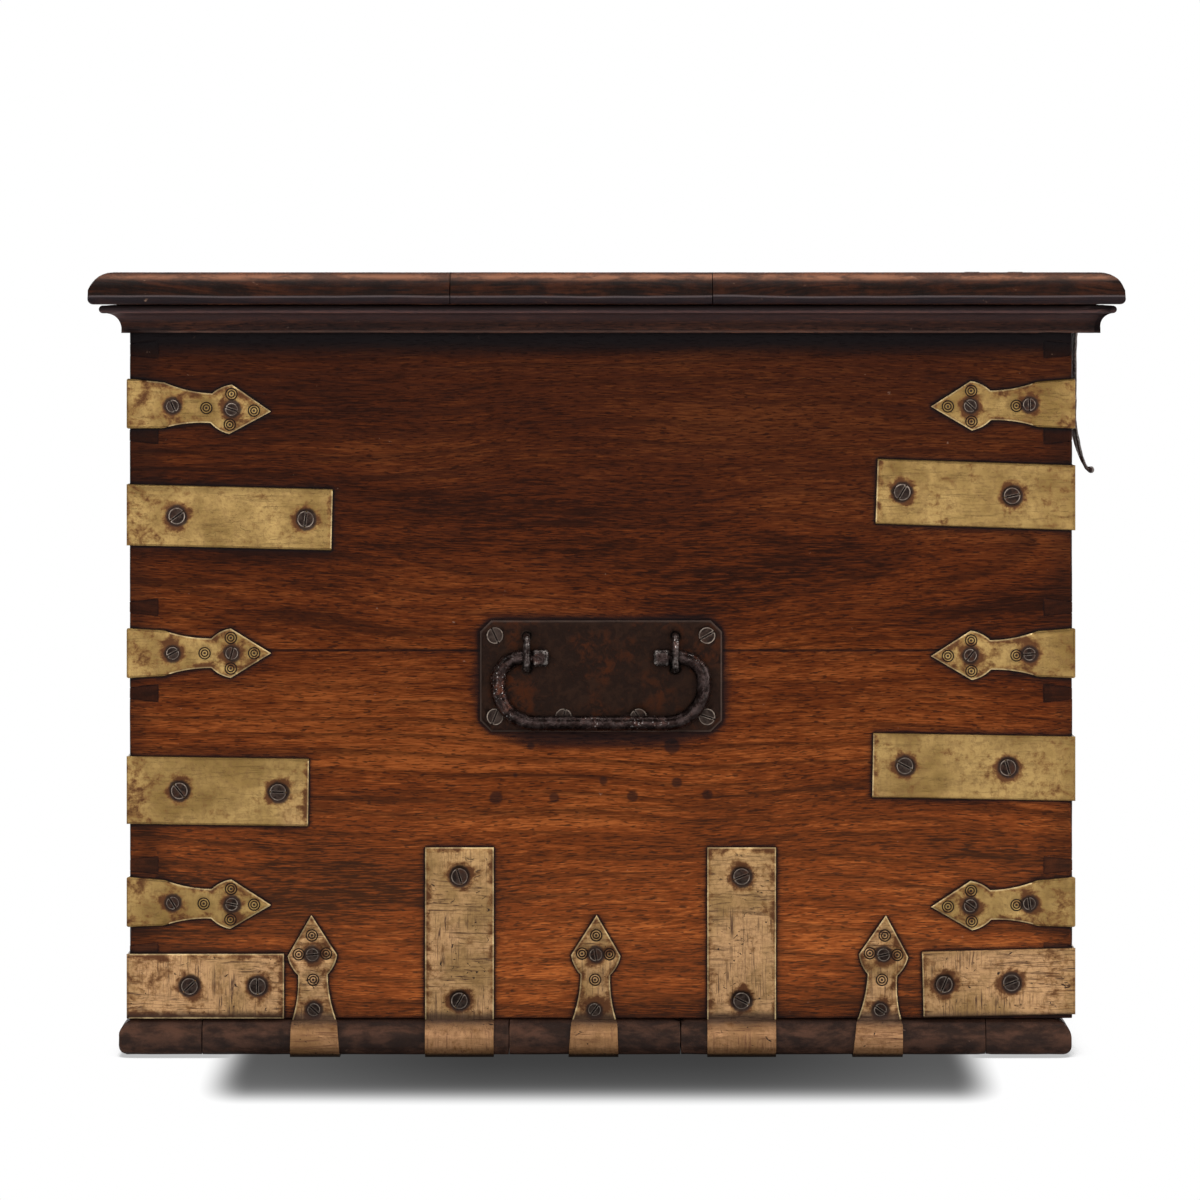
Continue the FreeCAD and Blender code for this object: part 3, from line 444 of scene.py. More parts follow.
# Sharpest turns that are still shaded smooth, in degrees
DRESSED_SMOOTH, WEATHERED_SMOOTH, FORGED_SMOOTH = 40, 34, 60

# Marks of age: depths are in millimetres, and waves and dents are (share, size, seed)
WEATHER_DEPTH, WEATHER_WAVES = 0.3, ((1.0, 34 * MM, 6), (0.5, 9 * MM, 7))
NICK_DEPTH, NICK_SIZE, NICK_SEED, NICK_LEAST, NICK_TURN = 1.75, 13 * MM, 9, 0.18, 0.35
DENT_WAVES = ((1.0, 8 * MM, 1), (0.45, 3.2 * MM, 2))
SOFTENINGS = 2

# Each separate solid of a node gets its own seed for its material
SHELL_SIZE, SHELL_SEED, SEED_SPREAD = 23 * MM, 5, 10


def welded_copy(node):
    """A mesh of a node's solids, with the corners of its faces joined."""
    mesh = bmesh.new()
    mesh.from_mesh(nodes[node].data)
    bmesh.ops.remove_doubles(mesh, verts=mesh.verts, dist=WELD)
    return mesh


def hollows(place, waves):
    """The depth of soft hollows at a place, of several sizes."""
    return sum(share * abs(pull(place, size, seed)) for share, size, seed in waves)


def press_in(verts, moves):
    """Moves each vertex in by its own depth, once all depths are known."""
    for vert, move in zip(verts, moves):
        vert.co -= move


def dressed(node, finish, material, ways=LEVEL_WAYS, find_marks=None):
    """A finely worn copy of a node's solids, which it replaces."""
    mesh = welded_copy(node)
    mesh.normal_update()
    layers = {name: mesh.verts.layers.float.new(name) for name in ("edge_mm", "screw_mm", "groove", "seed")}
    flag = mesh.faces.layers.int.new("flat")
    for vert in mesh.verts:
        vert[layers["screw_mm"]] = vert[layers["edge_mm"]] = FAR_MM
    regions = flat_regions(mesh, ways, flag, finish.least_area, finish.outer_band)
    for faces, way in regions:
        split_border(faces, finish.edge_step)
    for number, (faces, way) in enumerate(regions):
        make_fine(mesh, layers, flag, faces, way, finish, number, find_marks)
    for group in islands(mesh):
        middle = sum((v.co for v in group), Vector()) / len(group)
        for vert in group:
            vert[layers["seed"]] = SEED_SPREAD * (1 + pull(middle, SHELL_SIZE, SHELL_SEED))
    mesh.normal_update()
    smooth_with_edges(mesh, DRESSED_SMOOTH)
    piece_from(mesh, node, "_worn", material)


def weathered(node, cuts, material):
    """A copy of a moulded node, cut across at each step of its ways, with soft waves and nicked edges."""
    mesh = welded_copy(node)
    low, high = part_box(node)
    for way, step in cuts:
        start, stop = sorted((low.dot(way), high.dot(way)))
        for place in np.arange(start + step / 2, stop, step):
            everything = list(mesh.verts) + list(mesh.edges) + list(mesh.faces)
            bmesh.ops.bisect_plane(mesh, geom=everything, plane_co=way * place, plane_no=way, dist=CUT_SNAP)
    mesh.normal_update()
    moves = []
    for vert in mesh.verts:
        edges = [edge for edge in vert.link_edges if len(edge.link_faces) == 2]
        sharp = any(edge.calc_face_angle_signed(0) > NICK_TURN for edge in edges)
        nick = max(0.0, pull(vert.co, NICK_SIZE, NICK_SEED) - NICK_LEAST) if sharp else 0.0
        depth = WEATHER_DEPTH * hollows(vert.co, WEATHER_WAVES) + NICK_DEPTH * nick
        moves.append(vert.normal * depth * MM)
    press_in(mesh.verts, moves)
    smooth_with_edges(mesh, WEATHERED_SMOOTH)
    piece_from(mesh, node, "_worn", material)


def forged(node, voxel, dents, material, slot):
    """A hammered copy of a node: its solids made of even small faces, softened and dented."""
    source = placed("forge", nodes[node].data.copy())
    even = source.modifiers.new("even", "REMESH")
    even.mode = "VOXEL"
    even.voxel_size = voxel * MM
    bpy.context.view_layer.update()
    data = bpy.data.meshes.new_from_object(source.evaluated_get(bpy.context.evaluated_depsgraph_get()))
    bpy.data.objects.remove(source)
    mesh = bmesh.new()
    mesh.from_mesh(data)
    for turn in range(SOFTENINGS):
        bmesh.ops.smooth_vert(mesh, verts=mesh.verts, factor=0.5,
                              use_axis_x=True, use_axis_y=True, use_axis_z=True)
    mesh.normal_update()
    press_in(mesh.verts, [vert.normal * hollows(vert.co, DENT_WAVES) * dents * MM for vert in mesh.verts])
    smooth_with_edges(mesh, FORGED_SMOOTH)
    piece_from(mesh, node, "_forged", material)


# Ring and dot marks, at places measured back from the tip of each leaf:
# one at the tip, a pair aside at the shoulder and one on the neck

TIP_MARK, SHOULDER_MARK, SHOULDER_SIDE = 10.5 * MM, 25 * MM, 9.5 * MM
BACK_NECK_MARK, FRONT_NECK_MARK = 42 * MM, 53 * MM
FOOT_TIP_MARK, FOOT_SHOULDER_MARK, FOOT_SIDE, FOOT_NECK_MARK = 12.5 * MM, 24 * MM, 8.5 * MM, 40 * MM
NECK_STRAY, STRAY_SIZE, STRAY_SEED = 4 * MM, 40 * MM, 8
ROOT_SLACK = 0.1 * MM


def leaf_axis(region, upright):
    """The tip of a leaf, and the direction from its root to its tip."""
    outline = region.outline
    if upright:
        tip, root = np.argmax(outline[:, 1]), outline[:, 1] < outline[:, 1].min() + ROOT_SLACK
    else:
        centre = region.flat(Vector((0, middle_y, 0)))[0]
        reach = np.abs(outline[:, 0] - centre)
        tip, root = np.argmin(reach), reach > reach.max() - ROOT_SLACK
    along = outline[tip] - outline[root].mean(axis=0)
    return outline[tip], along / np.linalg.norm(along)


def leaf_marks(tip, along, at_tip, at_shoulder, aside, at_neck):
    """The places of the four marks of a leaf."""
    side = np.array([-along[1], along[0]])
    return [tip - along * at_tip, tip - along * at_shoulder + side * aside,
            tip - along * at_shoulder - side * aside, tip - along * at_neck]


def corner_leaf_marks(region):
    tip, along = leaf_axis(region, False)
    spot = region.solid(tip)
    stray = NECK_STRAY * pull(spot, STRAY_SIZE, STRAY_SEED)
    neck = FRONT_NECK_MARK if spot.y < middle_y else BACK_NECK_MARK + stray
    return leaf_marks(tip, along, TIP_MARK, SHOULDER_MARK, SHOULDER_SIDE, neck)


def foot_leaf_marks(region):
    return leaf_marks(*leaf_axis(region, True), FOOT_TIP_MARK, FOOT_SHOULDER_MARK, FOOT_SIDE, FOOT_NECK_MARK)


# Materials

class Nodes:
    """Short calls for the nodes of a material or world; a value is a number, a colour or a socket."""

    def __init__(self, owner):
        owner.use_nodes = True
        self.owner, self.tree = owner, owner.node_tree

    def put(self, socket, value):
        if isinstance(value, bpy.types.NodeSocket):
            self.tree.links.new(value, socket)
        else:
            socket.default_value = value

    def new(self, kind, inputs=(), **settings):
        node = self.tree.nodes.new(kind)
        for key, value in settings.items():
            setattr(node, key, value)
        for key, value in dict(inputs).items():
            self.put(node.inputs[key], value)
        return node

    def math(self, operation, first, second=0.0):
        return self.new("ShaderNodeMath", {0: first, 1: second}, operation=operation).outputs[0]

    def plus(self, first, *others):
        for other in others:
            first = self.math("ADD", first, other)
        return first

    def minus(self, first, second):
        return self.math("SUBTRACT", first, second)

    def times(self, first, *others):
        for other in others:
            first = self.math("MULTIPLY", first, other)
        return first

    def larger(self, first, second):
        return self.math("MAXIMUM", first, second)

    def size(self, value):
        return self.math("ABSOLUTE", value)

    def apart(self, first, second):
        return self.size(self.minus(first, second))

    def swing(self, layer, weight):
        """A layer of noise that swings about zero."""
        return self.times(self.minus(layer, 0.5), weight)

    def length(self, across, up):
        return self.math("SQRT", self.plus(self.times(across, across), self.times(up, up)))

    def range(self, value, low, high, out_low=0.0, out_high=1.0):
        """Maps a value from one range to another, held at both ends."""
        return self.new("ShaderNodeMapRange", {0: value, 1: low, 2: high, 3: out_low, 4: out_high},
                        interpolation_type="SMOOTHSTEP").outputs[0]

    def mix(self, share, first, second, blend="MIX"):
        node = self.new("ShaderNodeMix", {0: share, 6: first, 7: second}, data_type="RGBA", blend_type=blend)
        return node.outputs[2]

    def attribute(self, name):
        return self.new("ShaderNodeAttribute", attribute_name=name).outputs["Fac"]

    def place(self):
        return self.new("ShaderNodeTexCoord").outputs["Object"]

    def facing(self):
        """The way that the surface faces, in its own body's directions."""
        return self.split(self.new("ShaderNodeTexCoord").outputs["Normal"])

    def split(self, place):
        return self.new("ShaderNodeSeparateXYZ", {0: place}).outputs

    def join(self, x, y, z):
        return self.new("ShaderNodeCombineXYZ", {0: x, 1: y, 2: z}).outputs[0]

    def move(self, place, by):
        return self.new("ShaderNodeVectorMath", {0: place, 1: by}, operation="ADD").outputs[0]

    def stretch(self, place, scale, shift=(0.0, 0.0, 0.0)):
        return self.new("ShaderNodeMapping", {"Vector": place, "Scale": scale, "Location": shift}).outputs[0]

    def noise(self, place, scale, detail=3.0, roughness=0.55, distortion=0.0):
        """Noise of one fineness, or where the scale is three numbers, of one for each direction."""
        if isinstance(scale, tuple):
            place, scale = self.stretch(place, scale), 1.0
        node = self.new("ShaderNodeTexNoise", {"Vector": place, "Scale": scale, "Detail": detail,
                                               "Roughness": roughness, "Distortion": distortion})
        return node.outputs[0]

    def layers(self, place, table):
        """The layers of noise that a table names, under their names."""
        return SimpleNamespace(**{name: self.noise(place, *values) for name, values in table.items()})

    def hidden_corner(self, reach, samples=8):
        """1 where nothing is near, less in corners and beside things that stand on the surface."""
        return self.new("ShaderNodeAmbientOcclusion", {"Distance": reach}, samples=samples).outputs["AO"]

    def sharp_edge(self, reach, samples=8):
        """1 where the solid is thick, less along its outer edges."""
        return self.new("ShaderNodeAmbientOcclusion", {"Distance": reach}, samples=samples, inside=True,
                        only_local=True).outputs["AO"]

    def bump(self, height, distance, strength):
        inputs = {"Height": height, "Distance": distance, "Strength": strength}
        return self.new("ShaderNodeBump", inputs).outputs["Normal"]

    def finish(self, specular=0.5, **inputs):
        """Gives the shader its values and returns the material."""
        shader = self.tree.nodes["Principled BSDF"]
        shader.inputs["Specular IOR Level"].default_value = specular
        for key, value in inputs.items():
            self.put(shader.inputs[key.replace("_", " ")], value)
        return self.owner


def colour(red, green, blue):
    """A colour written in the eye's scale of 0 to 255, as the shader wants it."""
    values = [c / 255 for c in (red, green, blue)]
    return tuple(c / 12.92 if c <= 0.04045 else ((c + 0.055) / 1.055) ** 2.4 for c in values) + (1.0,)


# Layers of noise: (scale, detail, roughness, distortion), for wood along, across and up its grain
WOOD_LAYERS = {
    "cloud": ((2.4, 8, 9), 3.0, 0.6),
    "smear": ((3.2, 26, 28), 4.0, 0.6, 0.6),
    "patch": ((7, 34, 38), 5.0, 0.66, 0.5),
    "streak": ((4.5, 100, 110), 5.0, 0.68, 0.2),
    "fibre": ((26, 520, 520), 4.0, 0.75),
    "fine": ((90, 1300, 1300), 2.0, 0.6),
    "pores": ((170, 1300, 1300), 1.0, 0.5),
    "ripple": ((9, 50, 50),),
    "coarse": ((200, 90, 240), 3.0, 0.6)
}
WOOD_BEND_SCALE = (2.2, 4, 5)
WOOD_NICK_SCALE = (130, 90, 170)
WOOD_WAVE_SCALE = (24, 110, 110)
WAX_SCALE = (12, 170, 180)
BRASS_LAYERS = {
    "broad": (24.0, 3.0, 0.6),
    "sweep": ((14, 14, 26), 2.0, 0.5),
    "mottle": ((85, 85, 130), 5.0, 0.66, 0.4),
    "gouge": ((170, 170, 300), 2.0, 0.5, 1.6),
    "scratch": ((34, 46, 700), 4.0, 0.7, 1.1),
    "cross": ((640, 640, 40), 4.0, 0.7, 1.1),
    "grit": (300.0, 4.0, 0.7),
    "speck": (560.0, 3.0, 0.6)
}
IRON_LAYERS = {
    "broad": (38.0, 4.0, 0.6),
    "mottle": (170.0, 4.0, 0.65, 0.5),
    "speck": (650.0, 3.0, 0.6),
    "spark": (820.0, 2.0, 0.5)
}

# How much each layer of the wood tells in its lightness
CLOUD_WEIGHT = 0.75
LAYER_WEIGHTS = {"smear": 0.42, "patch": 0.60, "fibre": 0.50, "fine": 0.72}

# Growth rings: rings to a metre, their stretch along the board, and how far they bend and ripple
RINGS_TO_A_METRE = 85.0
RING_STRETCH_SHARE = 0.16
RING_BEND_SHARE, RING_RIPPLE = 1.6, 6 * MM
GRAIN_BEND = 50 * MM
SEED_SHIFTS = (1.7, 0.9, 0.37)

# What a board's own shade goes by: how far along the grain and how high a place is, how far it faces up, the
# broad clouds of the wood, the kind of wood and the direction of its grain
Spot = namedtuple("Spot", "along height facing_up cloud kind grain")

# The second colour darkens the wood in corners and beside the straps and plates: dirt there, and painted
# shade.
WOOD_NICK, WOOD_GRIME_AND_SHADE = colour(150, 118, 98), colour(17, 13, 15)


def kind_of_wood(dark, middle, light, end_dark, end_light, **habits):
    """The colours and habits of one kind of board."""
    return SimpleNamespace(dark=colour(*dark), middle=colour(*middle), light=colour(*light),
                           end_dark=colour(*end_dark), end_light=colour(*end_light), **habits)


def grain_tone(n, layer, kind):
    """The colour of a board's long faces, without its growth rings."""
    value = n.times(layer.cloud, CLOUD_WEIGHT)
    for name, weight in LAYER_WEIGHTS.items():
        value = n.plus(value, n.swing(getattr(layer, name), weight))
    tone = n.mix(n.range(value, 0.12, 0.40), kind.dark, kind.middle)
    tone = n.mix(n.range(value, 0.36, 0.66), tone, kind.light)
    gather = n.range(layer.cloud, 0.62, 0.38, 0.35, 1.0)
    tone = n.mix(n.times(n.range(layer.streak, 0.53, 0.68, 0.0, 0.85), gather), tone, kind.dark)
    return n.mix(n.range(layer.pores, 0.57, 0.68, 0.0, 0.75), tone, kind.end_dark)


def ring_lines(n, layer, along, height, bend, pith, kind):
    """Growth rings, as lines that close in long ovals round the pith."""
    out = n.times(n.minus(along, pith[0]), RING_STRETCH_SHARE)
    up = n.plus(n.minus(height, pith[1]), n.times(bend, RING_BEND_SHARE))
    ring = n.plus(n.length(out, up), n.times(layer.ripple, RING_RIPPLE))
    band = n.math("FRACT", n.times(ring, RINGS_TO_A_METRE))
    line = n.times(n.range(band, 0.55, 0.93), n.range(band, 1.0, 0.95))
    return n.times(line, n.range(layer.patch, 0.42, 0.62, 0.15, kind.figure))


def end_tone(n, flow, layer, kind):
    """The colour of a board's cut ends."""
    stripes = n.noise(flow, kind.end_scale, 4.0, 0.65, 0.3)
    value = n.plus(stripes, n.swing(layer.coarse, 0.6), n.swing(layer.patch, 0.5))
    return n.mix(n.range(value, 0.34, 0.70), kind.end_dark, kind.end_light)


def wood(name, kind, grain, seed, pith, shade):
    """Waxed old teak. The grain runs along X or Y; the pith is (along, height), where the figure closes."""
    n = Nodes(bpy.data.materials.new(name))
    x, y, z = n.split(n.place())
    along, beside = (x, y) if grain == "X" else (y, x)
    shifted = n.stretch(n.join(along, beside, z), (1, 1, 1), tuple(seed * share for share in SEED_SHIFTS))
    bend = n.swing(n.noise(shifted, WOOD_BEND_SCALE, 2.0), GRAIN_BEND)
    flow = n.move(shifted, n.join(0.0, bend, bend))
    layer = n.layers(flow, WOOD_LAYERS)

    tone = grain_tone(n, layer, kind)
    tone = n.mix(ring_lines(n, layer, along, z, bend, pith, kind), tone, kind.dark)
    facing = n.facing()
    on_end = n.range(n.size(facing[0 if grain == "X" else 1]), 0.35, 0.8, 0.0, 0.95)
    tone = n.mix(on_end, tone, end_tone(n, flow, layer, kind))
    tone = shade(n, tone, Spot(along, z, facing[2], layer.cloud, kind, grain))
    nicks = n.noise(shifted, WOOD_NICK_SCALE, 3.0, 0.7)
    tone = n.mix(n.range(nicks, 0.69, 0.76, 0.0, 0.5), tone, WOOD_NICK)
    # Dirt and painted shade in corners and beside what stands on the board, found by occlusion.
    grime = n.plus(n.hidden_corner(16 * MM, 12), n.swing(layer.patch, 0.08))
    tone = n.mix(n.range(grime, 0.985, 0.86, 0.0, kind.grime), tone, WOOD_GRIME_AND_SHADE)

    relief = n.plus(n.times(layer.fibre, 0.5), n.times(n.range(layer.pores, 0.58, 0.72), -0.7),
                    n.times(n.noise(shifted, WOOD_WAVE_SCALE), 0.8))
    wear_and_sheen = n.noise(shifted, WAX_SCALE, 4.0, 0.6)
    roughness = n.range(wear_and_sheen, 0.3, 0.7, kind.roughness, kind.roughness + 0.07)
    return n.finish(Base_Color=tone, Roughness=roughness, Normal=n.bump(relief, 0.35 * MM, 0.6),
                    specular=kind.shine)


# Shades: what age has done to the boards of one part of the chest, and the painted light and shade on them

# The carcase's colours: darker and redder towards its top, a dark joint line, and painted shade just under
# the cornice.
TOP_DARK_RED, JOINT_LINE, PAINTED_SHADE_UNDER_CORNICE = colour(34, 12, 6), colour(20, 9, 6), colour(12, 5, 3)
FOOT_GAIN, FOOT_LIFT = (1.6, 1.7, 1.7, 1.0), (0.014, 0.008, 0.004, 1.0)
# Lid and cornice: the light lid colour is a painted highlight, partly worn wood; the shaded one is painted
# shade; the two line colours are painted highlight lines; the cove's grey is a painted reflection.
LID_BLOT, LID_WEAR_AND_HIGHLIGHT = colour(22, 12, 9), colour(140, 92, 66)
LID_SHADED, LID_HIGHLIGHT_LINE = colour(34, 29, 33), colour(104, 92, 92)
COVE_REFLECTION, FILLET_BROWN, CORNICE_HIGHLIGHT_LINE = colour(88, 72, 74), colour(98, 50, 30), colour(116, 90, 80)
OLD_HOLE = colour(30, 18, 16)

# Old holes and plugs below the handle: (across from the middle, height under the plate, radius), millimetres
OLD_HOLES = ((-65, -41, 5.0), (-29, -41, 4.2), (19.5, -40, 4.2), (66, -39, 4.0), (1.5, -30.5, 3.6),
             (47, -31.5, 4.2), (44, -9, 6.0), (-43.5, -9, 4.0), (-53, -27, 2.4))
HOLE_RIM, HOLE_STRAY = 1.8, 8 * MM


def highlight_line_at(n, height, level):
    """A painted highlight line that runs along a board at one level."""
    return n.range(n.apart(height, level), 0.9 * MM, 0.2 * MM, 0.0, 0.5)


def carcase_shade(n, tone, spot):
    """Darker and redder at the top of the carcase and along its corners, lighter and browner at the foot;
    painted shade under the cornice.
    """
    share = n.math("DIVIDE", n.minus(spot.height, carcase_z), rim_z - carcase_z)
    share = n.plus(share, n.swing(spot.cloud, 0.4))
    # Darker and redder towards the top of the carcase.
    tone = n.mix(n.range(share, 0.30, 0.98, 0.0, 0.68), tone, TOP_DARK_RED)
    tone = n.mix(n.range(share, 0.46, 0.06), tone, FOOT_GAIN, "MULTIPLY")
    tone = n.mix(n.range(share, 0.46, 0.05), tone, FOOT_LIFT, "ADD")
    middle, half = (0.0, carcase_x) if spot.grain == "X" else (middle_y, half_depth)
    to_corner = n.plus(n.minus(half, n.apart(spot.along, middle)), n.swing(spot.cloud, 60 * MM))
    tone = n.mix(n.range(to_corner, 24 * MM, 2 * MM, 0.0, 0.5), tone, spot.kind.end_dark)
    tone = n.mix(n.range(n.apart(spot.height, joint_z), 1.3 * MM, 0.4 * MM, 0.0, 0.7), tone, JOINT_LINE)
    # Painted shade just under the cornice's overhang.
    shade_under_cornice = n.range(spot.height, cornice_low - 20 * MM, cornice_low - 3 * MM, 0.0, 0.92)
    return n.mix(shade_under_cornice, tone, PAINTED_SHADE_UNDER_CORNICE)


def handle_end_shade(n, tone, spot):
    """The near end also has the plugged holes of an older handle."""
    holes = 0.0
    for across, under, radius in OLD_HOLES:
        aside = n.minus(spot.along, middle_y - across * MM)
        away = n.length(aside, n.minus(spot.height, plate_low + under * MM))
        away = n.plus(away, n.swing(spot.cloud, HOLE_STRAY))
        holes = n.larger(holes, n.range(away, radius * MM, (radius - HOLE_RIM) * MM, 0.0, 0.7))
    return n.mix(holes, carcase_shade(n, tone, spot), OLD_HOLE)


def lid_shade(n, tone, spot):
    """The lid's edge has a painted highlight, partly worn wood, along its upper round, and painted shade and
    a painted highlight line along its lower one.
    """
    height = n.plus(spot.height, n.swing(spot.cloud, 3 * MM))
    on_edge = n.range(n.size(spot.facing_up), 0.97, 0.85)
    blot = n.noise(n.place(), (30, 30, 120), 4.0, 0.7)
    tone = n.mix(n.times(n.range(blot, 0.38, 0.62, 0.0, 0.6), on_edge), tone, LID_BLOT)
    # A painted highlight along the upper round, partly worn wood.
    wear_and_sheen = n.times(n.range(height, lid_high - 6 * MM, lid_high - 3 * MM, 0.0, 0.75),
                     n.range(blot, 0.62, 0.42, 0.25, 1.0))
    tone = n.mix(n.times(wear_and_sheen, on_edge), tone, LID_WEAR_AND_HIGHLIGHT)
    # Painted shade along the lower round.
    shaded = n.range(height, lid_low + 5.5 * MM, lid_low + 4.5 * MM, 0.0, 0.65)
    tone = n.mix(n.times(shaded, on_edge), tone, LID_SHADED)
    # A painted highlight line along the lower round.
    return n.mix(n.times(highlight_line_at(n, height, lid_low + 5 * MM), on_edge), tone, LID_HIGHLIGHT_LINE)


def cornice_shade(n, tone, spot):
    """The cove has a painted grey reflection below its fillet and is brown towards its foot; painted
    highlight lines run along the fillet's lower edge and the cove's foot.
    """
    height = n.plus(spot.height, n.swing(spot.cloud, 2 * MM))
    # A painted grey reflection on the upper cove.
    tone = n.mix(n.range(height, cornice_low + 5 * MM, cornice_low + 11 * MM, 0.0, 0.55), tone, COVE_REFLECTION)
    tone = n.mix(n.range(height, fillet_low, fillet_low + 1 * MM, 0.0, 0.7), tone, FILLET_BROWN)
    # Painted highlight lines along the fillet's lower edge and the cove's foot.
    highlight_lines = n.larger(highlight_line_at(n, height, fillet_low), highlight_line_at(n, height, cornice_low + 1 * MM))
    return n.mix(highlight_lines, tone, CORNICE_HIGHLIGHT_LINE)


def plain_shade(n, tone, spot):
    """No shade of its own: the colour of the wood stays as it is."""
    return tone


# Brass colours: the bright edge colour is worn metal and a painted highlight; the last colour darkens corners
# and hollows with dirt and painted shade.
BRASS_DULL, BRASS_CLEAN, BRASS_PINK = colour(120, 93, 46), colour(161, 131, 78), colour(186, 144, 102)
BRASS_GRIT, BRASS_SPECK, BRASS_GOUGE = colour(112, 82, 46), colour(70, 42, 26), colour(42, 27, 22)
SCRATCH_ALONG, SCRATCH_ACROSS = colour(76, 50, 34), colour(80, 54, 38)
BRASS_FOLDED, BRASS_CREASE, BRASS_WEAR_AND_HIGHLIGHT = colour(134, 90, 60), colour(44, 27, 20), colour(226, 198, 146)
STAIN, DEEP_STAIN, SCREW_STAIN = colour(116, 76, 36), colour(80, 43, 18), colour(36, 21, 14)
GROOVE_DIRT, BRASS_GRIME_AND_SHADE = colour(30, 18, 12), colour(30, 20, 16)


def scratched_brass(n, tone, layer, low):
    """Brass with scratches, most of them low down: along it in some places and across it in others."""
    along_share = n.range(layer.sweep, 0.42, 0.52)
    wild = n.plus(n.times(low, 0.85), 0.15)
    along = n.times(n.range(layer.scratch, 0.47, 0.66), wild, along_share)
    tone = n.mix(along, tone, SCRATCH_ALONG)
    across = n.times(n.range(layer.cross, 0.49, 0.68), n.times(n.minus(1.0, along_share), wild))
    return n.mix(across, tone, SCRATCH_ACROSS)


def stained_brass(n, tone, layer, edge, screw, to_corner):
    """Brass with brown stains, which gather along its edges, round its screws and at the chest's corners."""
    stain = n.plus(n.times(layer.mottle, 0.75), n.times(layer.broad, 0.25), n.swing(layer.grit, 0.25),
                   n.range(edge, 6.0, 0.8, 0.0, 0.15), n.range(screw, 7.5, 0.5, 0.0, 0.24),
                   n.range(to_corner, 34 * MM, 2 * MM, 0.0, 0.09))
    tone = n.mix(n.range(stain, 0.55, 0.66, 0.0, 0.55), tone, STAIN)
    return n.mix(n.range(stain, 0.61, 0.74, 0.0, 0.9), tone, DEEP_STAIN)


def brass_material():
    """Old brass sheet: brown where dirt gathers, pinker and more scratched towards the foot, with bright worn
    edges that are also a painted highlight, and painted shade with dirt in its corners.
    """
    n = Nodes(bpy.data.materials.new("aged_brass"))
    seed = n.attribute("seed")
    edge, screw = n.attribute("edge_mm"), n.attribute("screw_mm")
    x, y, z = n.split(n.place())
    layer = n.layers(n.move(n.place(), n.join(seed, n.times(seed, 0.7), seed)), BRASS_LAYERS)
    to_corner = n.larger(n.minus(half_depth, n.apart(y, middle_y)), n.minus(carcase_x, n.size(x)))
    foot_strap = n.times(n.range(z, carcase_z + 165 * MM, carcase_z + 50 * MM),
                         n.range(to_corner, 90 * MM, 97 * MM))
    low = n.larger(n.range(z, carcase_z + 55 * MM, carcase_z + 38 * MM), foot_strap)

    tone = n.mix(n.range(layer.broad, 0.32, 0.68), BRASS_DULL, BRASS_CLEAN)
    tone = n.mix(n.times(low, n.range(layer.broad, 0.35, 0.6, 0.3, 0.85)), tone, BRASS_PINK)
    tone = n.mix(n.range(layer.grit, 0.44, 0.62, 0.0, 0.42), tone, BRASS_GRIT)
    tone = scratched_brass(n, tone, layer, low)
    tone = n.mix(n.range(z, carcase_z + 2 * MM, carcase_z - 3 * MM, 0.0, 0.5), tone, BRASS_FOLDED)
    tone = n.mix(n.times(n.range(layer.gouge, 0.67, 0.73), n.plus(low, 0.1)), tone, BRASS_GOUGE)
    tone = stained_brass(n, tone, layer, edge, screw, to_corner)
    tone = n.mix(n.range(layer.speck, 0.67, 0.75, 0.0, 0.6), tone, BRASS_SPECK)
    stray_mm = n.swing(layer.mottle, 5.0)
    tone = n.mix(n.range(n.plus(screw, stray_mm), 2.6, 0.6, 0.0, 0.95), tone, SCREW_STAIN)
    crease = n.plus(n.apart(z, carcase_z), n.times(stray_mm, MM))
    tone = n.mix(n.range(crease, 6 * MM, 1 * MM, 0.0, 0.85), tone, BRASS_CREASE)
    # Bright worn edges, also a painted highlight.
    wear_and_sheen = n.times(n.range(edge, 1.1, 0.2), n.range(layer.mottle, 0.35, 0.6, 0.85, 0.35))
    tone = n.mix(wear_and_sheen, tone, BRASS_WEAR_AND_HIGHLIGHT)
    tone = n.mix(n.range(n.attribute("groove"), 0.02, 0.35, 0.0, 0.95), tone, GROOVE_DIRT)
    # Dirt and painted shade in corners and beside the screws' heads, found by occlusion.
    tone = n.mix(n.range(n.hidden_corner(4 * MM), 0.85, 0.4, 0.0, 0.85), tone, BRASS_GRIME_AND_SHADE)

    relief = n.plus(n.times(layer.mottle, 0.8), n.times(layer.speck, 0.3))
    relief = n.minus(relief, n.times(n.range(layer.scratch, 0.56, 0.68), 0.3))
    relief = n.minus(relief, n.times(n.range(layer.gouge, 0.66, 0.74), 0.5))
    return n.finish(Base_Color=tone, Metallic=0.75, Roughness=n.range(layer.mottle, 0.3, 0.7, 0.42, 0.58),
                    Normal=n.bump(relief, 0.5 * MM, 0.5))


# Iron colours: the first two are bright wear with painted highlights and painted glints; the last darkens
# corners with dirt and painted shade; the two on the next line are bright wear with painted highlights along
# a border and a screw's rim.
IRON_RIDGE_WEAR_AND_HIGHLIGHT, IRON_WEAR_AND_GLINT, IRON_GRIME_AND_SHADE = colour(196, 186, 180), colour(205, 198, 194), colour(14, 10, 10)
IRON_BORDER_WEAR_AND_HIGHLIGHT, IRON_RIM_WEAR_AND_HIGHLIGHT = colour(98, 82, 74), colour(140, 126, 114)


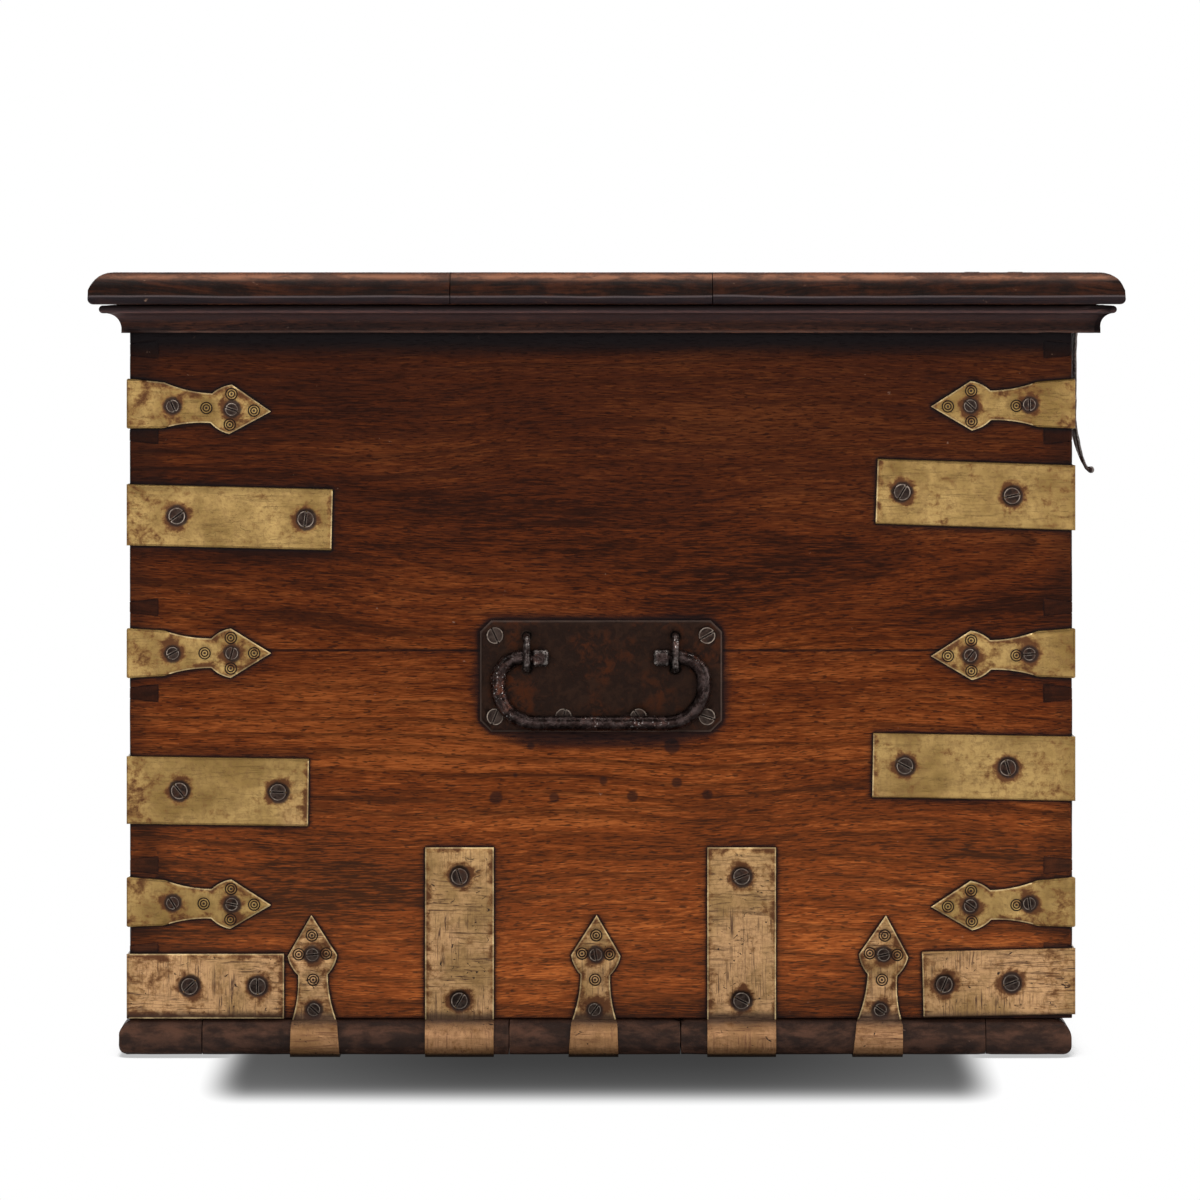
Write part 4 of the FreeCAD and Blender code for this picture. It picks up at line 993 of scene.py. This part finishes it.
def iron_material(name, base, worn, rust, roughness, dents, wear_and_sheen=0.0, edges=None):
    """Forged iron: dark, rusty in patches, and bright on its worn bumps, also along a border or a screw's
    rim, which is partly a painted highlight; with painted glints, and painted shade with dirt in corners.
    """
    n = Nodes(bpy.data.materials.new(name))
    layer = n.layers(n.place(), IRON_LAYERS)
    tone = n.mix(n.range(layer.mottle, 0.4, 0.66), base, worn)
    patch = n.times(n.range(layer.broad, 0.46, 0.66), n.range(layer.mottle, 0.4, 0.62), 0.8)
    tone = n.mix(patch, tone, rust)
    tone = n.mix(n.range(layer.speck, 0.62, 0.75, 0.0, 0.5), tone, rust)
    # Bright worn bumps and edges, also a painted highlight.
    ridge = n.range(n.new("ShaderNodeNewGeometry").outputs["Pointiness"], 0.51, 0.57, 0.0, wear_and_sheen)
    tone = n.mix(n.times(ridge, n.range(layer.speck, 0.42, 0.56, 0.25, 1.0)), tone, IRON_RIDGE_WEAR_AND_HIGHLIGHT)
    # Painted glints, with some bright worn metal.
    spark = n.times(n.range(layer.spark, 0.61, 0.70), n.range(layer.broad, 0.48, 0.60), wear_and_sheen)
    tone = n.mix(spark, tone, IRON_WEAR_AND_GLINT)
    # A border or a screw's rim: bright wear and a painted highlight.
    if edges == "border":
        tone = n.mix(n.range(n.attribute("edge_mm"), 1.5, 0.3, 0.0, 0.45), tone, IRON_BORDER_WEAR_AND_HIGHLIGHT)
    if edges == "rim":
        rim = n.times(n.range(n.sharp_edge(0.8 * MM), 0.85, 0.5), n.range(layer.mottle, 0.35, 0.6, 0.7, 0.2))
        tone = n.mix(rim, tone, IRON_RIM_WEAR_AND_HIGHLIGHT)
    # Dirt and painted shade in corners, found by occlusion.
    tone = n.mix(n.range(n.hidden_corner(5 * MM), 0.85, 0.45, 0.0, 0.8), tone, IRON_GRIME_AND_SHADE)
    relief = n.plus(layer.mottle, n.times(layer.speck, 0.4))
    dull = n.range(layer.mottle, 0.35, 0.65, roughness, roughness + 0.2)
    return n.finish(Base_Color=tone, Metallic=0.85, Roughness=dull, Normal=n.bump(relief, dents, 0.7),
                    specular=0.1)


brass = brass_material()
forged_iron = iron_material("forged_iron", colour(30, 21, 19), colour(60, 49, 47), colour(80, 42, 26),
                            roughness=0.16, dents=0.9 * MM, wear_and_sheen=0.9)
flat_iron = iron_material("flat_iron", colour(30, 21, 19), colour(56, 45, 42), colour(74, 40, 26),
                          roughness=0.38, dents=0.5 * MM, wear_and_sheen=0.4)
plate_iron = iron_material("plate_iron", colour(28, 18, 14), colour(46, 31, 24), colour(68, 34, 18),
                           roughness=0.40, dents=0.4 * MM, edges="border")
screw_iron = iron_material("screw_iron", colour(28, 21, 18), colour(58, 48, 43), colour(60, 34, 22),
                           roughness=0.30, dents=0.3 * MM, edges="rim")

teak = kind_of_wood(
    dark=(38, 14, 4), middle=(96, 42, 12), light=(144, 76, 32), end_dark=(34, 16, 9), end_light=(74, 34, 16),
    end_scale=(30, 26, 420), figure=0.55, roughness=0.47, shine=0.04, grime=0.9)
lid_teak = kind_of_wood(
    dark=(34, 17, 10), middle=(66, 34, 20), light=(112, 62, 36), end_dark=(17, 9, 6), end_light=(58, 28, 14),
    end_scale=(30, 22, 480), figure=0.55, roughness=0.45, shine=0.06, grime=0.85)
base_teak = kind_of_wood(
    dark=(34, 21, 15), middle=(62, 39, 28), light=(92, 59, 42), end_dark=(44, 29, 22), end_light=(84, 56, 42),
    end_scale=(60, 45, 130), figure=0.4, roughness=0.49, shine=0.10, grime=0.4)


# The pieces

OUTWARD = {"left": LEFTWARD, "right": RIGHTWARD, "front": FORWARD, "back": BACKWARD}
UPPER_PITH, LOWER_PITH = (middle_y + 5 * MM, joint_z + 62 * MM), (0.45, carcase_z - 90 * MM)
MOULDING_PITH = (0.3, -0.3)
GRAIN_ALONG_Y = ("cornice_left", "cornice_right", "lid_battens")
CUTS = {"X": (RIGHTWARD, 14 * MM), "Y": (BACKWARD, 9 * MM)}

# By how a node's name begins: its wood, its shade, its slot, and whether it is cut in both directions
MOULDINGS = {
    "lid_plank": (lid_teak, lid_shade, "lid_wood", True),
    "lid_battens": (lid_teak, plain_shade, "teak", False),
    "cornice": (lid_teak, cornice_shade, "dark_wood", False),
    "bottom": (base_teak, plain_shade, "dark_wood", True)
}
PLATES = ("_handle_plate", "_hinge_body_leaf", "hasp_staple_plate")

# By how a node's name ends: the size of its small faces and of its dents, in millimetres, and its iron
FORGINGS = {
    "bail": (1.0, 0.3, forged_iron), "staples": (0.75, 0.35, forged_iron),
    "hasp": (0.9, 0.4, flat_iron), "hasp_lid_strap": (1.2, 0.3, flat_iron)
}


def dress_board(node, number):
    """A board of the carcase, whose outer face and cut ends show."""
    on_end = "_end_" in node
    ends = (FORWARD, BACKWARD) if on_end else (LEFTWARD, RIGHTWARD)
    ways = (OUTWARD[node.split("_")[0]],) + ends
    pith = UPPER_PITH if "upper" in node else LOWER_PITH
    shade = handle_end_shade if node == "left_end_lower_board" else carcase_shade
    material = wood(node + "_wood", teak, "Y" if on_end else "X", number, pith, shade)
    dressed(node, BOARD, material, ways=ways)


def dress_moulding(node, number, kind, shade, slot, both_directions):
    """A lid plank, moulding, batten or base plank, cut fine enough for its waves and nicks."""
    grain = "Y" if node in GRAIN_ALONG_Y else "X"
    material = wood(node + "_wood", kind, grain, number, MOULDING_PITH, shade)
    weathered(node, CUTS.values() if both_directions else [CUTS[grain]], material)


def dress_straps(node):
    marks = None
    if "leaf" in node:
        marks = foot_leaf_marks if "foot" in node else corner_leaf_marks
    dressed(node, BRASS, brass, find_marks=marks)


def own_material(node, material):
    """Screws, pins and hinge leaves keep their solids' own meshes."""
    nodes[node].data.materials.clear()
    nodes[node].data.materials.append(material)


for number, node in enumerate(sorted(nodes), 1):
    moulding = next((values for start, values in MOULDINGS.items() if node.startswith(start)), None)
    forging = next((values for ending, values in FORGINGS.items() if node.endswith(ending)), None)
    if node.endswith("_board"):
        dress_board(node, number)
    elif moulding:
        dress_moulding(node, number, *moulding)
    elif node.endswith("_straps"):
        dress_straps(node)
    elif node.endswith(PLATES):
        dressed(node, IRON, plate_iron)
    elif forging:
        forged(node, *forging, "iron")
    else:
        own_material(node, screw_iron if node.endswith("_screws") else flat_iron)


# Floor, lights and camera

WHITE, FLOOR_GREY = (1, 1, 1, 1), (0.75, 0.75, 0.75, 1)
WORLD_LIGHT, WORLD_SEEN = 0.3, 1.0
DARKEST, EASE = 0.05, 0.05


def floor():
    """A white floor. Its shadow is soft and dark below the ends, as the photograph has it."""
    n = Nodes(bpy.data.materials.new("floor_white"))
    x, y, z = n.split(n.place())
    beyond = n.minus(n.size(x), carcase_x)
    beside = n.apart(y, middle_y)
    open_ahead = n.math("POWER", n.range(beyond, 0.0, 300 * MM), 4.0)
    open_beside = n.range(beside, half_depth - 84 * MM, half_depth - 39 * MM)
    shut = n.times(n.minus(1.0, open_ahead), n.minus(1.0, open_beside))
    near_wall = n.range(n.hidden_corner(50 * MM, 16), 0.44, 0.60, 0.5, 1.0)
    light_share = n.plus(n.range(shut, 1.0, 0.0, DARKEST, 1.0), n.range(beyond, 0.0, 250 * MM, 0.0, EASE),
                         n.range(beside, half_depth - 230 * MM, half_depth - 60 * MM, 0.0, EASE))
    light_share = n.math("MINIMUM", n.math("MINIMUM", light_share, 1.0), near_wall)
    glow = n.new("ShaderNodeEmission", {"Color": WHITE, "Strength": light_share})
    plain = n.new("ShaderNodeBsdfDiffuse", {"Color": FLOOR_GREY})
    path = n.new("ShaderNodeLightPath")
    watched = n.larger(path.outputs["Is Camera Ray"], path.outputs["Is Glossy Ray"])
    both = n.new("ShaderNodeMixShader", {0: watched, 1: plain.outputs[0], 2: glow.outputs[0]})
    n.put(n.tree.nodes["Material Output"].inputs["Surface"], both.outputs[0])
    mesh = bmesh.new()
    bmesh.ops.create_grid(mesh, x_segments=1, y_segments=1, size=FLOOR_REACH)
    placed_mesh("floor", mesh, n.owner)


def backdrop():
    """A world that is white where it is seen, and lights the chest dimly."""
    world = bpy.data.worlds.new("studio")
    bpy.context.scene.world = world
    n = Nodes(world)
    path = n.new("ShaderNodeLightPath")
    seen = n.larger(path.outputs["Is Camera Ray"], path.outputs["Is Transmission Ray"])
    back = n.tree.nodes["Background"]
    n.put(back.inputs["Color"], WHITE)
    n.put(back.inputs["Strength"], n.range(seen, 0.0, 1.0, WORLD_LIGHT, WORLD_SEEN))


def turned(made, way):
    """Turns a lamp or camera to look along a way."""
    made.rotation_mode = "QUATERNION"
    made.rotation_quaternion = way.to_track_quat("-Z", "Y")


def lamp(name, place, target, width, height, watts):
    """A soft rectangular lamp at a place, turned to its target."""
    data = bpy.data.lights.new(name, "AREA")
    data.shape = "RECTANGLE"
    data.size, data.size_y = width, height
    data.energy = watts
    made = placed(name, data)
    made.location = place
    turned(made, target - Vector(place))


def photo_camera():
    """The camera of the photograph, square on to the near end."""
    data = bpy.data.cameras.new("camera")
    data.sensor_width = sensor_width
    data.lens = sensor_width * camera_distance / (photo_size * pixel)
    data.shift_y = -(photo_size / 2 - eye_py) / photo_size
    data.shift_x = (photo_size / 2 - middle_px) / photo_size
    made = placed("camera", data)
    made.location = (-carcase_x - camera_distance, middle_y, (floor_py - eye_py) * pixel)
    turned(made, RIGHTWARD)
    bpy.context.scene.camera = made


middle = Vector((0, middle_y, (carcase_z + rim_z) / 2))
near_end, far_end = (Vector((x, middle_y, middle.z)) for x in (-carcase_x, carcase_x))

# (name, place, target, width, height, watts)
LAMPS = (
    ("top_softbox", (-0.2, 0.0, 2.6), middle, 2.4, 2.0, 70),
    ("near_end_fill", (-3.2, 0.1, 0.85), near_end, 2.4, 1.5, 35),
    ("far_end_fill", (3.2, -0.1, 0.85), far_end, 2.4, 1.5, 32),
    ("front_fill", (-1.2, -3.0, 1.2), middle, 2.2, 1.6, 50),
    ("back_fill", (1.2, 3.0, 1.2), middle, 2.2, 1.6, 36)
)

floor()
backdrop()
for values in LAMPS:
    lamp(*values)
photo_camera()
bpy.context.scene.view_settings.view_transform = "Standard"
